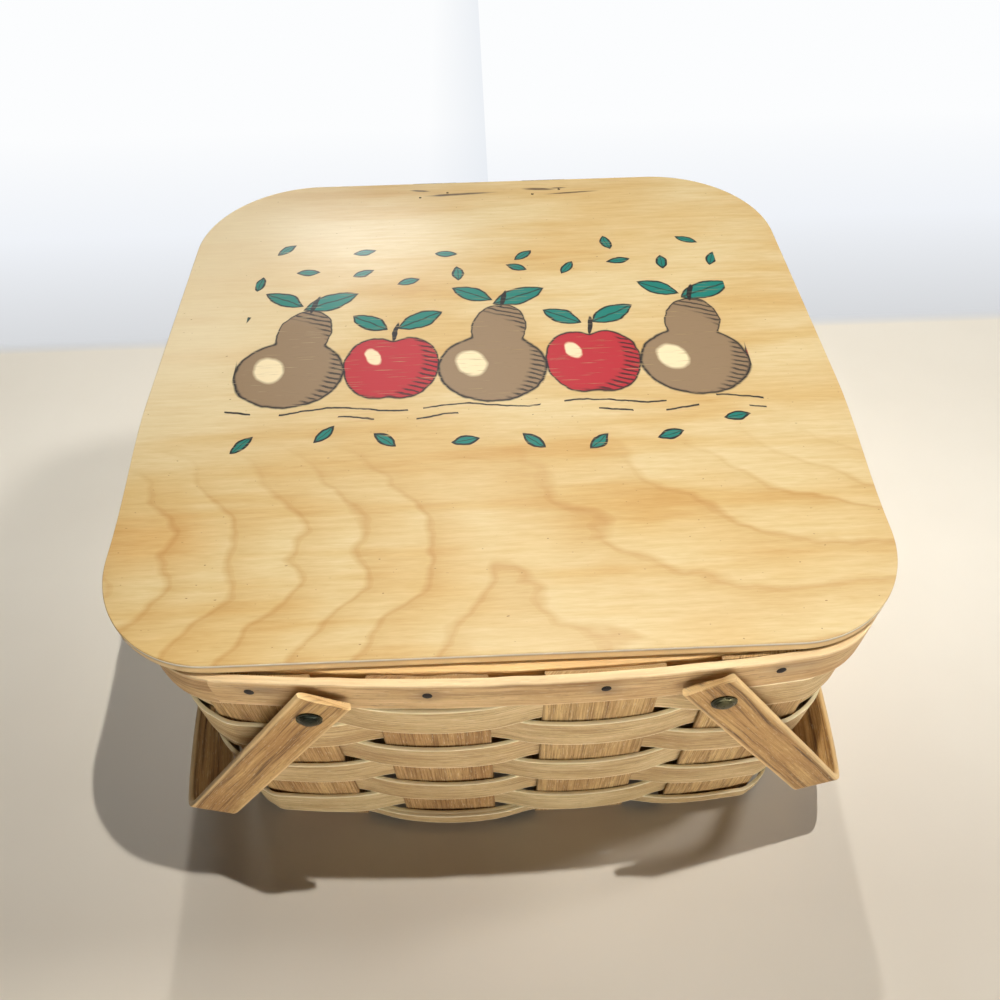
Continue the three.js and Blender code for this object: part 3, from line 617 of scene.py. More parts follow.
def hoop(name, outer, inner, lap_start, lap_length, piece, inwards, top_wave=0.25, nails=()):
    thick = outer - inner
    half = HOOP_HEIGHT / 2
    middle = RIM_HEIGHT - half
    ring = section_ring(half, thick / 2, 0.7)
    plan = plan_at(RIM_HEIGHT)
    steps = 620
    sections, stains = [], []
    for i in range(steps + 1):
        walk = lap_start + (48 + lap_length) * i / steps
        gone, left = walk - lap_start, lap_start + 48 + lap_length - walk
        low, high = inner, outer
        if gone < lap_length:
            high = inner + thick * (0.12 + 0.88 * gone / lap_length) - 0.05
        if left < lap_length:
            low = outer - thick * (0.14 + 0.86 * left / lap_length) + 0.05
        facing = facing_at(walk, RIM_HEIGHT)
        section, marks = [], []
        for across, through, _ in ring:
            wave = top_wave * wander(walk * 0.5, piece, across * 0.02)
            height = middle + across * (1 - 0.012 * abs(wander(walk * 0.3, piece, 2.0))) + min(0.0, wave)
            share = (through + thick / 2) / thick
            uneven = 0.12 * wander(walk * 2.2, height * 0.08, piece)
            offset = low + share * (high - low) + uneven - inwards * pinch(walk)
            x, y = plan_point(plan, facing, offset)
            section.append((x, y, height))
            mark = 0.0
            for nail_x, nail_y, nail_z, length, drop in nails:
                flat = math.hypot(x - nail_x, y - nail_y) / length
                tall = (height - nail_z - drop) / 2.2
                mark = max(mark, math.exp(-(flat * flat + tall * tall)))
            marks.append(mark)
        sections.append(section)
        stains.append(marks)
    return rolled_strip(name, sections, ring, piece, stains)


NAIL_HEIGHT = RIM_HEIGHT - 7


def nail_seats():
    plan = plan_at(RIM_HEIGHT)
    seats = []
    for facing, is_end_wall, places in WALLS:
        chosen = (places[0], places[-1]) if facing == QUARTER else places
        for place in chosen:
            turn = facing + turn_at(plan, is_end_wall, place)
            x, y = plan_point(plan, turn, MIDDLE_DEPTH)
            seats.append((x, y, turn))
    return seats


seats = nail_seats()
stain_list = [(x, y, NAIL_HEIGHT, 3.2 + 1.5 * (i % 3), 0.3 * (i % 2)) for i, (x, y, _) in enumerate(seats)]
stain_list[0] = (seats[0][0] + 6, seats[0][1], NAIL_HEIGHT, 9.0, 0.8)
stain_list[3] = (seats[3][0] + 4, seats[3][1], NAIL_HEIGHT, 12.0, 0.6)
outer_hoop = hoop("outer_hoop", HOOP_GAP + OUTER_HOOP_THICKNESS, HOOP_GAP, 44.8, 4.0, 40.3, 1, nails=stain_list)
inner_hoop = hoop("inner_hoop", -HOOP_GAP, -HOOP_GAP - INNER_HOOP_THICKNESS, 8.9, 3.4, 43.9, -1, top_wave=0.5)
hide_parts("rim_hoop_outer")
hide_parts("rim_hoop_inner")
print("hoops:", outer_hoop.name, inner_hoop.name, "faces each:", len(outer_hoop.data.polygons))


# %% [markdown]
# Each handle is one flat strip of ash, steamed and bent into a wide bow. The two arms hang on
# rivets outside the rim, and the grip between them is bowed as well. The strip is drawn in its
# own plane first, and then laid into the slanting plane in which it hangs.

# %% Handles
PIVOT_PLACE, PIVOT_HEIGHT, HANDLE_FACE = 0.495 * HALF_WIDTH, RIM_HEIGHT - 15, 166.5
HANDLE_THICKNESS, HANDLE_WIDTH, HANDLE_TAIL = 2.8, 20.5, 13.5
HANDLE_ARCH, HANDLE_BEND, HANDLE_TOE = 33.4, 9.0, 0.03
GRIP_DROP, GRIP_RUN = PIVOT_HEIGHT - 18, HALF_WIDTH + 5.4 - PIVOT_PLACE
CORNER_REACH = math.hypot(GRIP_DROP, GRIP_RUN) - HANDLE_ARCH
REST_TURN = math.atan2(GRIP_DROP, GRIP_RUN)


def handle_line():
    middle = HANDLE_FACE + HANDLE_THICKNESS / 2
    corner = CORNER_REACH

    def arm(along):
        return middle - HANDLE_TOE * along

    corner_place = arm(corner)

    def grip(place):
        return corner + HANDLE_ARCH * (1 - abs(place / corner_place) ** 3)

    arm_end, grip_end = corner - HANDLE_BEND, corner_place - HANDLE_BEND
    a, b, c = (arm_end, arm(arm_end)), (corner, corner_place), (grip(grip_end), grip_end)
    bend = [tuple((1 - t) ** 2 * a[k] + 2 * t * (1 - t) * b[k] + t * t * c[k] for k in (0, 1))
            for t in [i / 14 for i in range(15)]]
    straight = [(s, arm(s)) for s in np.linspace(-HANDLE_TAIL, arm_end, 18)[:-1]]
    bow = [(grip(s), s) for s in np.linspace(grip_end, 0, 20)[1:]]
    half = straight + bend + bow
    return half + [(x, -y) for x, y in half[-2::-1]]


def handle(name, side, piece):
    ring = section_ring(HANDLE_WIDTH / 2, HANDLE_THICKNESS / 2, 0.75, inset=1.8)
    line = handle_line()
    arm_way = Vector((side * math.cos(REST_TURN), 0, -math.sin(REST_TURN)))
    wide_way = arm_way.cross(Vector((0, 1, 0)))
    pivot = Vector((side * PIVOT_PLACE, 0, PIVOT_HEIGHT))
    sections = []
    for i, (along, place) in enumerate(line):
        before, after = Vector(line[max(i - 1, 0)]), Vector(line[min(i + 1, len(line) - 1)])
        run = (after - before).normalized()
        outward = Vector((-run.y, run.x))
        if outward.dot(Vector((along - 60, place))) < 0:
            outward = -outward
        is_tip = i in (0, len(line) - 1)
        section = []
        for across, through, _ in ring:
            back = 1.5 * wander(across * 0.45, through * 0.5, piece + i) if is_tip else 0.0
            wide = across * (1 + 0.012 * wander(i * 0.16, piece, 1.0)) + 0.15 * wander(i * 0.22, across * 0.1, piece)
            flat = Vector((along + back, place)) + outward * through
            section.append(tuple(pivot + arm_way * flat.x + Vector((0, 1, 0)) * flat.y + wide_way * wide))
        sections.append(section)
    return rolled_strip(name, sections, ring, piece)


handles = [handle("handle_strip_left", -1, 50.2), handle("handle_strip_right", 1, 53.6)]
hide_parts("handle_left")
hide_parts("handle_right")
print("handles:", [h.name for h in handles], "faces each:", len(handles[0].data.polygons))


# %% [markdown]
# The lid is a board of plywood with broad round corners. It starts as a cube at its size. Its
# four upright edges are bevelled by the corner radius, then all the sharp edges get a small one.
# The hinge leaves lie in pockets in its underside, which a Boolean cuts.

# %% Lid
LID_HALF_X, LID_HALF_Y, LID_THICKNESS = 159.0, 160.5, 5.7
LID_CORNER, LID_FRONT_CORNER = 62.0, 50.0
HINGE_PLACE = 33
LID_BOTTOM = RIM_HEIGHT + SEAT
LID_MIDDLE = Vector((-3.3, 2.7, LID_BOTTOM + LID_THICKNESS / 2))


def select_edges(test):
    # Selects the edges of the active mesh whose two ends pass the test.
    mesh = bpy.context.object.data
    bpy.ops.mesh.select_mode(type="EDGE")
    bpy.ops.mesh.select_all(action="DESELECT")
    edit(False)
    for edge in mesh.edges:
        edge.select = test(*(mesh.vertices[i].co for i in edge.vertices))
    edit(True)


def lid_board():
    board = cube(LID_MIDDLE * MM, (2 * LID_HALF_X * MM, 2 * LID_HALF_Y * MM, LID_THICKNESS * MM))
    board.name = "lid_board"
    edit(True)
    for radius, end in ((LID_CORNER, 1), (LID_FRONT_CORNER, -1)):
        select_edges(lambda a, b: abs(a.z - b.z) > 0.5 * LID_THICKNESS * MM and a.y * end > 0.15 and b.y * end > 0.15)
        bpy.ops.mesh.bevel(offset=radius * MM, offset_type="OFFSET", segments=36, affect="EDGES")
    top, bottom = (LID_BOTTOM + LID_THICKNESS) * MM, LID_BOTTOM * MM
    for y in range(-110, 0, 10):
        take_all()
        bpy.ops.mesh.bisect(plane_co=(0, y * MM, 0), plane_no=(0, 1, 0))
    select_edges(lambda a, b: abs(a.z - b.z) < 1e-6 and (abs(a.z - top) < 1e-6 or abs(a.z - bottom) < 1e-6)
                 and not (abs(a.y - b.y) < 1e-6 and abs(a.x - b.x) > 0.25))
    bpy.ops.mesh.bevel(offset=0.7 * MM, offset_type="OFFSET", segments=3, affect="EDGES")
    take_all()
    bpy.ops.mesh.normals_make_consistent(inside=False)
    edit(False)
    for vertex in board.data.vertices:
        # The board is a touch narrower at the front than at the back.
        share = min(1.0, max(0.0, (-0.02 - vertex.co.y) / 0.09))
        vertex.co.x -= (vertex.co.x - LID_MIDDLE.x * MM) * 0.030 * share * share * (3 - 2 * share)
    for middle in (-HINGE_PLACE, HINGE_PLACE):
        pocket = cube((middle * MM, 155.5 * MM, (LID_BOTTOM - 0.5) * MM), (26.6 * MM, 23 * MM, 3.6 * MM))
        bpy.context.view_layer.objects.active = board
        cutter = board.modifiers.new("pocket", "BOOLEAN")
        cutter.operation, cutter.object = "DIFFERENCE", pocket
        bpy.ops.object.modifier_apply(modifier=cutter.name)
        bpy.data.objects.remove(pocket)
    start_afresh()
    board.select_set(True)
    bpy.context.view_layer.objects.active = board
    bpy.ops.object.shade_smooth_by_angle(angle=math.radians(30))
    return board


lid = lid_board()
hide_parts("lid")
print("lid board:", len(lid.data.polygons), "faces, top at", round(max(v.co.z for v in lid.data.vertices), 4))


# %% [markdown]
# The rivets have domed brass heads, and the rim nails small dark ones. A turned thing like this
# is half an outline spun round its axis. Each kind is spun once and then copied to its seats,
# every copy with its own mesh.

# %% Rivets and nails
def turned_piece(name, outline, steps):
    # outline: pairs of radius and height in millimetres, from the axis back to the axis.
    start_afresh()
    bpy.ops.mesh.primitive_plane_add(size=1)
    piece = bpy.context.object
    piece.name = name
    edit(True)
    bpy.ops.mesh.delete(type="VERT")
    bpy.ops.mesh.primitive_circle_add(vertices=max(3, len(outline)), radius=1 * MM, fill_type="NOTHING")
    edit(False)
    for vertex, (radius, height) in zip(piece.data.vertices, outline):
        vertex.co = (max(radius, 0.001) * MM, 0, height * MM)
    edit(True)
    select_edges(lambda a, b: a.x <= 0.0011 * MM and b.x <= 0.0011 * MM)
    bpy.ops.mesh.delete(type="EDGE")
    take_all()
    bpy.ops.mesh.spin(steps=steps, angle=2 * math.pi, center=(0, 0, 0), axis=(0, 0, 1))
    take_all()
    bpy.ops.mesh.remove_doubles(threshold=0.003 * MM)
    bpy.ops.mesh.normals_make_consistent(inside=False)
    edit(False)
    bpy.ops.object.shade_smooth_by_angle(angle=math.radians(40))
    return piece


def copy_to(model, name, seat, outward, turn=0.0):
    copied = model.copy()
    copied.data = model.data.copy()
    copied.name = copied.data.name = name
    bpy.context.scene.collection.objects.link(copied)
    stand = Vector(outward).to_track_quat("Z", "Y").to_matrix().to_4x4() @ Matrix.Rotation(turn, 4, "Z")
    copied.data.transform(Matrix.Translation(Vector(seat) * MM) @ stand)
    return copied


rim_plan = plan_at(RIM_HEIGHT)
beside_rivet = QUARTER - turn_at(rim_plan, True, PIVOT_PLACE + 4.6)
inner_face = plan_point(rim_plan, beside_rivet, -HOOP_GAP - INNER_HOOP_THICKNESS)[1]
washer_back = -(HANDLE_FACE + HANDLE_THICKNESS - inner_face) - SEAT - 1.0
rivet_outline = [(0, 2.25), (1.2, 2.18), (2.3, 1.95), (3.2, 1.55), (3.9, 1.0), (4.1, 0.72), (4.3, 0.7), (4.8, 0.6),
                 (4.9, 0.2), (4.6, 0.05), (2.0, 0.05), (2.0, washer_back - SEAT), (3.1, washer_back - SEAT),
                 (3.0, washer_back - 0.8), (1.6, washer_back - 1.45), (0, washer_back - 1.5)]
rivet_model = turned_piece("rivet_model", rivet_outline, 40)
CORNERS = (("left_front", -1, -1), ("right_front", 1, -1), ("right_back", 1, 1), ("left_back", -1, 1))
rivets = []
for number, (title, side, end) in enumerate(CORNERS):
    seat = (side * PIVOT_PLACE, end * (HANDLE_FACE + HANDLE_THICKNESS), PIVOT_HEIGHT)
    rivets.append(copy_to(rivet_model, f"dome_rivet_{title}", seat, (0, end, 0), turn=number))
    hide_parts(f"rivet_{title}")
bpy.data.objects.remove(rivet_model)

nail_outline = [(0, 0.45), (0.8, 0.42), (1.5, 0.3), (1.85, 0.12), (1.9, -0.05), (0.85, -0.1), (0.8, -13), (0, -14)]
nail_model = turned_piece("nail_model", nail_outline, 20)
rim_nails = []
for number, (x, y, facing) in enumerate(seats):
    way = (math.cos(facing), math.sin(facing), 0.06 * wander(number * 1.7, 0.3, 5))
    rim_nails.append(copy_to(nail_model, f"hoop_nail_{number + 1:02d}", (x, y, NAIL_HEIGHT), way, turn=number))
    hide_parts(f"rim_nail_{number + 1:02d}")
bpy.data.objects.remove(nail_model)
print("rivets:", len(rivets), "rim nails:", len(rim_nails))


# %% [markdown]
# Two small butt hinges hold the lid at the back. A leaf is a thin plate with knuckles round the
# pin. The plates are cubes at their size with softened edges, and the knuckles are cylinders. They
# are slimmer than the plain ones of the CAD model, so the lid hides them from the front.

# %% Hinges
HINGE_DEPTH, HINGE_HEIGHT, KNUCKLE_RADIUS = 169.25, 163.1, 1.45


def plate(low, high):
    made = cube([(a + b) / 2 * MM for a, b in zip(low, high)], [(b - a) * MM for a, b in zip(low, high)])
    edit(True)
    take_all()
    bpy.ops.mesh.bevel(offset=0.15 * MM, segments=2, affect="EDGES")
    edit(False)
    return made


def knuckle(start, stop, radius):
    start_afresh()
    bpy.ops.mesh.primitive_cylinder_add(vertices=28, radius=radius * MM, depth=(stop - start) * MM,
                                        location=((start + stop) / 2 * MM, HINGE_DEPTH * MM, HINGE_HEIGHT * MM),
                                        rotation=(0, QUARTER, 0))
    made = bpy.context.object
    bpy.ops.object.transform_apply(location=True, rotation=True, scale=True)
    return made


def joined(name, pieces):
    start_afresh()
    for piece in pieces:
        piece.select_set(True)
    bpy.context.view_layer.objects.active = pieces[0]
    bpy.ops.object.join()
    whole = bpy.context.object
    whole.name = whole.data.name = name
    bpy.ops.object.shade_smooth_by_angle(angle=math.radians(35))
    return whole


lid_leaves, rim_leaves, hinge_pins = [], [], []
for title, middle in (("left", -HINGE_PLACE), ("right", HINGE_PLACE)):
    left, right = middle - 13, middle + 13
    lid_leaves.append(joined(f"hinge_leaf_lid_{title}", [
        plate((left, 144.25, 162.6), (right, 166.5, 163.6)),
        plate((middle - 4.9, 166.3, 162.6), (middle + 4.9, 168.3, 163.6)),
        knuckle(middle - 4.9, middle + 4.9, KNUCKLE_RADIUS)]))
    rim_leaves.append(joined(f"hinge_leaf_rim_{title}", [
        plate((left, 166.85, 148.3), (right, 167.85, 162.2)),
        knuckle(left, middle - 5.2, KNUCKLE_RADIUS), knuckle(middle + 5.2, right, KNUCKLE_RADIUS)]))
    hinge_pins.append(joined(f"hinge_rod_{title}", [
        knuckle(left - 0.8, right + 0.8, 0.7),
        knuckle(left - 1.0, left - 0.3, 1.2), knuckle(right + 0.3, right + 1.0, 1.2)]))
    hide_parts(f"hinge_{title}_lid_leaf")
    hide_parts(f"hinge_{title}_rim_leaf")
    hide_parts(f"hinge_{title}_pin")
print("hinges:", [leaf.name for leaf in lid_leaves + rim_leaves])


# %% [markdown]
# Split ash shows its year rings as long bands, fine fibres between them, and small dark flecks.
# Noise that is squeezed hard across the strip and stretched along it gives all three. The
# finishes of the splints, weavers, hoops and handles differ only in their colours and scales.

# %% Split wood
def split_wood(name, pale, middle, dark, edge_tint, edge_share, band=230.0, fibre=1500.0, banding=0.3, fleck=0.5,
               rough=0.66, depth=0.3, bend=0.0):
    made, shader = new_material(name, middle, rough)
    along, across, _ = parts(node("TexCoord", out="UV"))
    piece, edge, stain = (node("Attribute", out="Fac", attribute_name=title) for title in ("piece", "edge", "stain"))

    def grain(long, wide, detail, shift=0.0):
        return fuzz(point(along * long, across * wide, piece * 3.17 + shift), 1.0, detail)

    if bend:
        across = grain(14.0, 30.0, 2.0, 21.0) * bend + across
    rings, fibres, mottle = grain(7.0, band, 3.0), grain(38.0, fibre, 4.0, 4.0), grain(24.0, 90.0, 4.0, 9.0)
    blend = fibres * (1 - banding) + rings * banding
    colour = ramp(blend, (0.36, *dark), (0.49, *middle), (0.62, *pale))
    colour = mix(0.75, colour, ramp(mottle, (0.3, 214, 196, 172), (0.62, 255, 255, 255)), "MULTIPLY")
    own = node("TexWhiteNoise", {"W": piece}, out="Value", noise_dimensions="1D")
    colour = mix(0.8, colour, ramp(own, (0.0, 232, 216, 196), (1.0, 255, 252, 244)), "MULTIPLY")
    dashes = grain(190.0, fibre * 1.4, 2.0, 15.0)
    colour = mix(ramp(dashes, (0.62, 0.0), (0.70, 1.0)) * fleck, colour, paint(104, 74, 42))
    colour = mix(ramp(dashes, (0.32, 1.0), (0.38, 0.0)) * (0.5 * fleck), colour, paint(246, 232, 200))
    # The rounded edges take the edge tint, mottled. On the weavers this bright cream tint is a painted highlight along
    # their edges.
    worn = maths("MULTIPLY", edge * (mottle * 0.8 + 0.5), edge_share, clamp=True)
    colour = mix(worn, colour, paint(*edge_tint))
    stained = maths("MULTIPLY", stain, fibres * 1.5 + 0.1, clamp=True)
    plug(shader.inputs["Base Color"], mix(stained, colour, paint(52, 46, 54)))
    plug(shader.inputs["Roughness"], span(blend, 0.0, 1.0, rough + 0.12, rough - 0.08))
    bumps(shader, fibres * 0.6 + rings * banding, depth, 0.4)
    return made


splint_wood = split_wood("splint_ash", (212, 180, 126), (188, 154, 102), (148, 116, 70), (120, 88, 52), 0.4,
                         band=420, fibre=1700, fleck=0.55, rough=0.72, depth=0.45)
# The weavers' cream edge tint, above full share, is a painted highlight.
weaver_wood = split_wood("weaver_ash", (226, 206, 162), (212, 189, 142), (186, 161, 114), (255, 241, 200), 1.3,
                         band=420, fibre=1700, banding=0.08, fleck=0.6)
hoop_wood = split_wood("hoop_ash", (236, 212, 166), (218, 190, 142), (178, 146, 102), (246, 222, 176), 0.5,
                       band=170, fibre=900, banding=0.45, fleck=0.4)
# The inner hoop is painted brighter and more orange than the outer one: painted light on its top, which lies in the
# shade of the lid's edge.
inner_wood = split_wood("inner_hoop_ash", (246, 204, 138), (234, 186, 116), (192, 140, 78), (250, 220, 158), 0.4,
                        band=300, fleck=0.6)
handle_wood = split_wood("handle_ash", (214, 180, 122), (190, 152, 96), (104, 74, 40), (236, 204, 148), 0.7,
                         band=380, fibre=1500, banding=0.6, rough=0.6, bend=0.006)
for pieces, finish in ((splints, splint_wood), (weavers, weaver_wood), ([outer_hoop], hoop_wood),
                       ([inner_hoop], inner_wood), (handles, handle_wood)):
    dress(pieces, finish)
print("wood finishes:", splint_wood.name, weaver_wood.name, hoop_wood.name, inner_wood.name, handle_wood.name)


# %% [markdown]
# The lid is birch plywood under a clear coat. Its face was peeled from the log, which draws broad
# contour lines in the front part, like a map of a hill, beside plain fine grain. Its edge shows
# the plies. All places on it are in millimetres from the lid's middle.

# %% Lid wood
def lid_places():
    place = node("TexCoord", out="Object")
    return parts(node("Mapping", {"Vector": place, "Location": LID_MIDDLE * MM, "Scale": (MM, MM, MM)},
                      vector_type="TEXTURE"))


def lid_noise(x, y, scale_x, scale_y, detail, shift):
    return fuzz(point(x * scale_x, y * scale_y, shift), 1.0, detail)


def own_places(flat, middle_x, middle_y, long, wide, turn=0.0):
    # Places as an oval measures them: its outline is the circle of radius 1.
    return node("Mapping", {"Vector": flat, "Location": (middle_x, middle_y, 0), "Scale": (long, wide, 1),
                            "Rotation": (0, 0, math.radians(turn))}, vector_type="TEXTURE")


def oval(flat, *shape):
    return node("VectorMath", {0: own_places(flat, *shape)}, out="Value", operation="LENGTH")


def inside(value, edge, soft):
    return span(value, edge + soft, edge - soft)


def contour_lines(x, y):
    # Left of the middle the lines stand up like tongues, right of it they lean over to the right.
    from_bend = y + 114.0
    lean = from_bend * from_bend * 0.012 + maths("COSINE", from_bend * 0.185) * 3.0
    left = (-12.5 - (x + lean)) / 25.0
    right = (x * x * 0.0001 + 0.7) * (y + 95.0) + x
    hills = maths("SMOOTH_MAX", left, right / 50.0, 0.2)
    hills = lid_noise(x, y, 0.03, 0.055, 2.0, 3.7) * 0.8 + hills
    return maths("FRACT", lid_noise(x, y, 0.10, 0.09, 2.0, 8.0) * 0.10 + hills)


SCUFFS = ((-38, 152, 5, 0.9, -8), (-14, 147, 17, 1.0, 3), (-24, 146.4, 5, 1.1, 3),
          (32, 150, 8, 1.2, -5), (51, 145, 13, 0.7, 4), (44, 150.6, 4, 0.6, 0))


def lid_wood(x, y):
    fine, hair = lid_noise(x, y, 0.045, 0.55, 4.0, 1.0), lid_noise(x, y, 0.16, 1.7, 3.0, 5.0)
    cloud, streak = lid_noise(x, y, 0.010, 0.022, 3.0, 12.0), lid_noise(x, y, 0.008, 0.07, 3.0, 16.0)
    grain = fine * 0.6 + hair * 0.4
    colour = ramp(grain, (0.32, 199, 173, 123), (0.5, 206, 183, 136), (0.68, 213, 192, 148))
    shade = ramp(contour_lines(x, y), (0.0, 236, 220, 190), (0.06, 228, 206, 170), (0.17, 255, 255, 250),
                 (0.42, 255, 253, 246), (0.8, 248, 240, 224), (1.0, 240, 228, 204))
    colour = mix(span(y, -48.0, -92.0) * 0.7, colour, shade, "MULTIPLY")
    colour = mix(0.7, colour, ramp(cloud, (0.35, 242, 224, 190), (0.6, 255, 255, 255)), "MULTIPLY")
    colour = mix(0.8, colour, ramp(streak, (0.34, 244, 230, 204), (0.5, 255, 255, 255)), "MULTIPLY")
    # A warm, darker place near the left front corner.
    flat = point(x, y)
    warm = span(oval(flat, -137, -105, 32, 20), 1.0, 0.2)
    colour = mix(warm * 0.5, colour, paint(244, 208, 148), "MULTIPLY")
    # The left part is painted paler: a painted sheen where light from behind glances off the coat.
    pale = span(x, -60.0, -150.0) * span(y, -70.0, 10.0) * 0.5
    colour = mix(pale, colour, paint(232, 218, 186))
    # Small dark specks, and short knife-thin scuffs near the back edge.
    specks = ramp(lid_noise(x, y, 0.45, 0.75, 1.0, 31.0), (0.755, 0.0), (0.80, 1.0))
    colour = mix(specks * 0.75, colour, paint(128, 92, 50))
    for shape in SCUFFS:
        torn = maths("MULTIPLY", inside(oval(flat, *shape), 1.0, 0.35), hair * 1.6 + 0.05, clamp=True)
        colour = mix(torn, colour, paint(74, 52, 34))
    return colour, grain


def lid_plies(z):
    # The plies show as bands across the edge. The cream band at the very top is a painted highlight along the upper
    # edge.
    return ramp((z + LID_THICKNESS / 2) / LID_THICKNESS, (0.0, 168, 132, 84), (0.1, 214, 184, 134),
                (0.42, 220, 188, 136), (0.62, 206, 172, 120), (0.72, 176, 152, 120), (0.82, 196, 190, 180),
                (0.95, 236, 222, 192))


print("lid wood: contour lines, plies and", len(SCUFFS), "scuffs are ready")


# %% [markdown]
# The print is a plain row of pears and apples over a thin ground line, with loose leaves above and
# below. It is drawn with ovals and lens shapes. One pear and one apple are drawn, and the row
# repeats them. Each shape is laid down in black a little larger first, which leaves its outline.

# %% Lid print
INK, TAUPE, CREAM = paint(34, 30, 30), paint(140, 116, 88), paint(238, 220, 178)
RED, TEAL = paint(172, 42, 50), paint(22, 116, 104)
PRINT_HALF, ROW_PITCH = 122.0, 96.0
# Each shape is an oval: where its middle is, its two half lengths, and its turn in degrees. A fruit
# has a colour, two leaves, two ovals that make its body, one that its shade leaves bare, one of
# light, and its stem.
PEAR = (TAUPE, ((15, 47, 14, 6, 24), (-9, 50, 11, 4.6, 152)), ((0, -7, 25, 23), (4, 22, 13, 18, -10)),
        (-7, 1, 26, 34), (-10, -4, 7, 9, 20), (7, 45, 1.3, 7, -12))
APPLE = (RED, ((13, 30, 12, 5.4, 30), (-12, 29, 10, 4.6, 148)), ((-7, -5, 15, 21, 6), (7, -5, 15, 21, -6)),
         (-6, 0, 21, 25), (-9, 3, 3.5, 6, 20), (1, 21, 1.2, 7, -8))
# Rows of loose leaves: how far back, how far apart, and the seed of their places.
LOOSE_ROWS = ((70.0, 27.0, 3.0), (-52.0, 31.0, 8.0), (88.0, 43.0, 12.0))


def lay_leaf(colour, ink, flat, *shape):
    along, side, _ = parts(own_places(flat, *shape))
    side = maths("ABSOLUTE", side)
    value = along * along + side
    outline = 0.8 / shape[3]
    body = inside(value, 1.0 - 0.4 * outline, 0.05) * ink
    colour = mix(inside(value, 1.0 + outline, 0.05) * ink, colour, INK)
    colour = mix(body, colour, TEAL)
    return mix(inside(side, 0.09, 0.03) * body * 0.8, colour, INK)


def lay_fruit(colour, ink, flat, stripes, fruit):
    fill, leaves, body, shade, shine, stem = fruit
    for shape in leaves:
        colour = lay_leaf(colour, ink, flat, *shape)
    value = maths("SMOOTH_MIN", *(oval(flat, *shape) for shape in body), 0.18)
    whole = inside(value, 0.99, 0.02) * ink
    colour = mix(inside(value, 1.045, 0.02) * ink, colour, INK)
    colour = mix(whole, colour, fill)
    rim = 1.0 - inside(oval(flat, *shade), 1.0, 0.05)
    colour = mix(rim * stripes * whole * 0.85, colour, INK)
    colour = mix(inside(oval(flat, *shine), 1.0, 0.12) * whole * 0.85, colour, CREAM)
    return mix(inside(oval(flat, *stem), 1.0, 0.1) * ink, colour, INK)


def lay_print(colour, x, y):
    # A slow wobble keeps the drawn lines from being dead straight, and the ink has worn thin in streaks.
    wobble_x = lid_noise(x, y, 0.12, 0.12, 2.0, 41.0) * 2.4 + (x - 1.2)
    wobble_y = lid_noise(x, y, 0.12, 0.12, 2.0, 47.0) * 2.4 + (y - 1.2)
    worn = ramp(lid_noise(x, y, 0.05, 1.4, 3.0, 53.0), (0.60, 1.0), (0.68, 0.35))
    ink = worn * inside(maths("ABSOLUTE", x), PRINT_HALF, 0.2)
    stripes = maths("GREATER_THAN", maths("SINE", wobble_x * 0.7 + wobble_y * 1.9), 0.35)
    for_pear = maths("WRAP", wobble_x, ROW_PITCH / 2, -ROW_PITCH / 2)
    for_apple = maths("WRAP", wobble_x, ROW_PITCH, 0.0) - ROW_PITCH / 2
    colour = lay_fruit(colour, ink, point(for_pear, wobble_y), stripes, PEAR)
    colour = lay_fruit(colour, ink, point(for_apple, wobble_y), stripes, APPLE)
    for base, pitch, seed in LOOSE_ROWS:
        number = maths("MULTIPLY_ADD", maths("FLOOR", wobble_x / pitch), 1.37, seed)
        chance = parts(node("TexWhiteNoise", {"W": number}, out="Color", noise_dimensions="1D"))
        centre = point(chance[0] * 6.0 + (pitch / 2 - 3), chance[1] * 16.0 + (base - 8))
        here = point(maths("WRAP", wobble_x, pitch, 0.0), wobble_y)
        around = node("Mapping", {"Vector": here, "Location": centre, "Rotation": point(0.0, 0.0, chance[2] * 6.28)},
                      vector_type="TEXTURE")
        colour = lay_leaf(colour, ink, around, 0, 0, 5.5, 2.2, 0)
    ground = maths("SINE", wobble_x * 0.11) * 1.6 + wobble_y
    for height, low in ((-33.0, 0.42), (-39.0, 0.55)):
        line = inside(maths("ABSOLUTE", ground - height), 0.5, 0.15)
        broken = maths("GREATER_THAN", lid_noise(x, y, 0.05, 0.01, 2.0, 60.0 + height), low)
        colour = mix(line * broken * ink, colour, INK)
    return colour


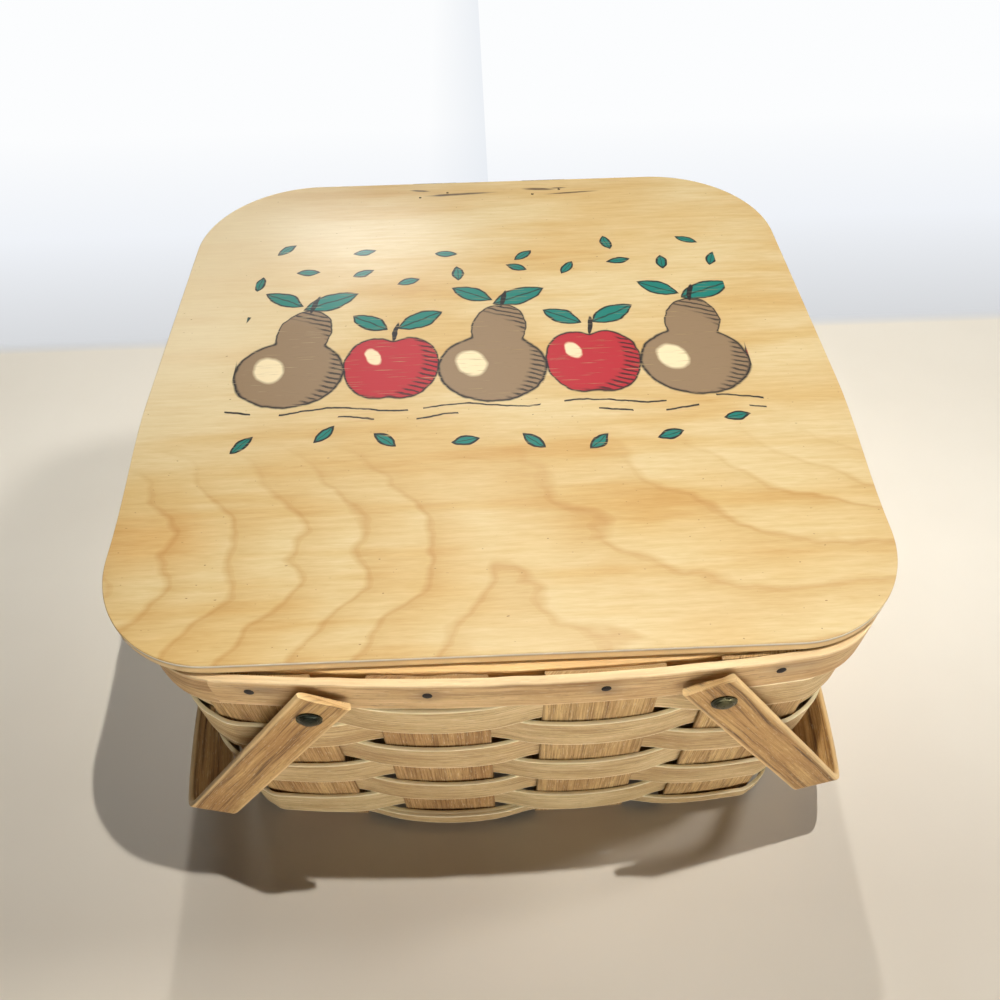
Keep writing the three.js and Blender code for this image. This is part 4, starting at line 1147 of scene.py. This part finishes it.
def lid_finish():
    made, shader = new_material("birch_plywood", (230, 203, 148), 0.52)
    x, y, z = lid_places()
    colour, grain = lid_wood(x, y)
    colour = mix(maths("GREATER_THAN", z, LID_THICKNESS / 2 - 0.4), lid_plies(z), lay_print(colour, x, y))
    # The underside is the plainer face of the board, with straight grain and a few darker streaks.
    streaks = lid_noise(x, y, 0.012, 0.30, 3.0, 83.0) * 0.6 + grain * 0.4
    plain = ramp(streaks, (0.38, 184, 148, 98), (0.5, 206, 174, 122), (0.62, 218, 190, 142))
    plug(shader.inputs["Base Color"], mix(maths("LESS_THAN", z, 0.4 - LID_THICKNESS / 2), colour, plain))
    relief = bumps(shader, lid_noise(x, y, 0.05, 0.9, 3.0, 71.0) * 0.8 + grain, 0.10, 0.4)
    # The clear coat is thick enough to shine only at the back left.
    plug(shader.inputs["Coat Normal"], relief)
    plug(shader.inputs["Coat Weight"], span(oval(point(x, y), -70, 125, 110, 100), 1.0, 0.3, 0.05, 0.9))
    shader.inputs["Coat Roughness"].default_value = 0.29
    shader.inputs["Specular IOR Level"].default_value = 0.3
    return made


dress([lid], lid_finish())
print("lid finish:", lid.data.materials[0].name)


# %% [markdown]
# The rivets are brass that has gone dark, and the nails and hinges are blued iron. Both keep a
# little wear: noise makes them rougher in places and brighter in others.

# %% Metals
def old_metal(name, bright, dull, rough):
    made, shader = new_material(name, dull, rough)
    place = node("TexCoord", out="Object")
    spots, broad = fuzz(place, 420.0, 4.0), fuzz(place, 90.0, 2.0)
    plug(shader.inputs["Base Color"], ramp(broad, (0.35, *dull), (0.7, *bright)))
    plug(shader.inputs["Roughness"], span(spots, 0.0, 1.0, rough - 0.1, rough + 0.2))
    shader.inputs["Metallic"].default_value = 0.9
    bumps(shader, spots, 0.2, 0.1)
    return made


brass = old_metal("dark_brass", (92, 88, 62), (40, 44, 36), 0.26)
iron = old_metal("blued_iron", (74, 68, 64), (38, 36, 38), 0.6)
dress(rivets, brass)
dress(rim_nails + lid_leaves + rim_leaves + hinge_pins, iron)
dress([piece for name, piece in nodes_by_name.items() if name.startswith("washer")], brass)
dress([piece for name, piece in nodes_by_name.items() if name.startswith("hinge")], iron)
print("metals:", brass.name, iron.name)


# %% [markdown]
# Each piece rides on the body that moves it.

# %% Bodies
for piece in splints + weavers + [outer_hoop, inner_hoop] + rim_nails + rivets:
    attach(piece, "basket")
for piece in rim_leaves + hinge_pins:
    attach(piece, "basket")
for piece in [lid] + lid_leaves:
    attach(piece, "lid")
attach(handles[0], "handle_left")
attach(handles[1], "handle_right")
for pieces, slot in ((splints, "splint_wood"), (weavers, "weaver_wood"), ([outer_hoop, inner_hoop], "hoop_wood"),
                     (handles, "handle_wood"), ([lid], "lid_wood"), (rivets, "aged_brass"),
                     (rim_nails + lid_leaves + rim_leaves + hinge_pins, "dark_iron")):
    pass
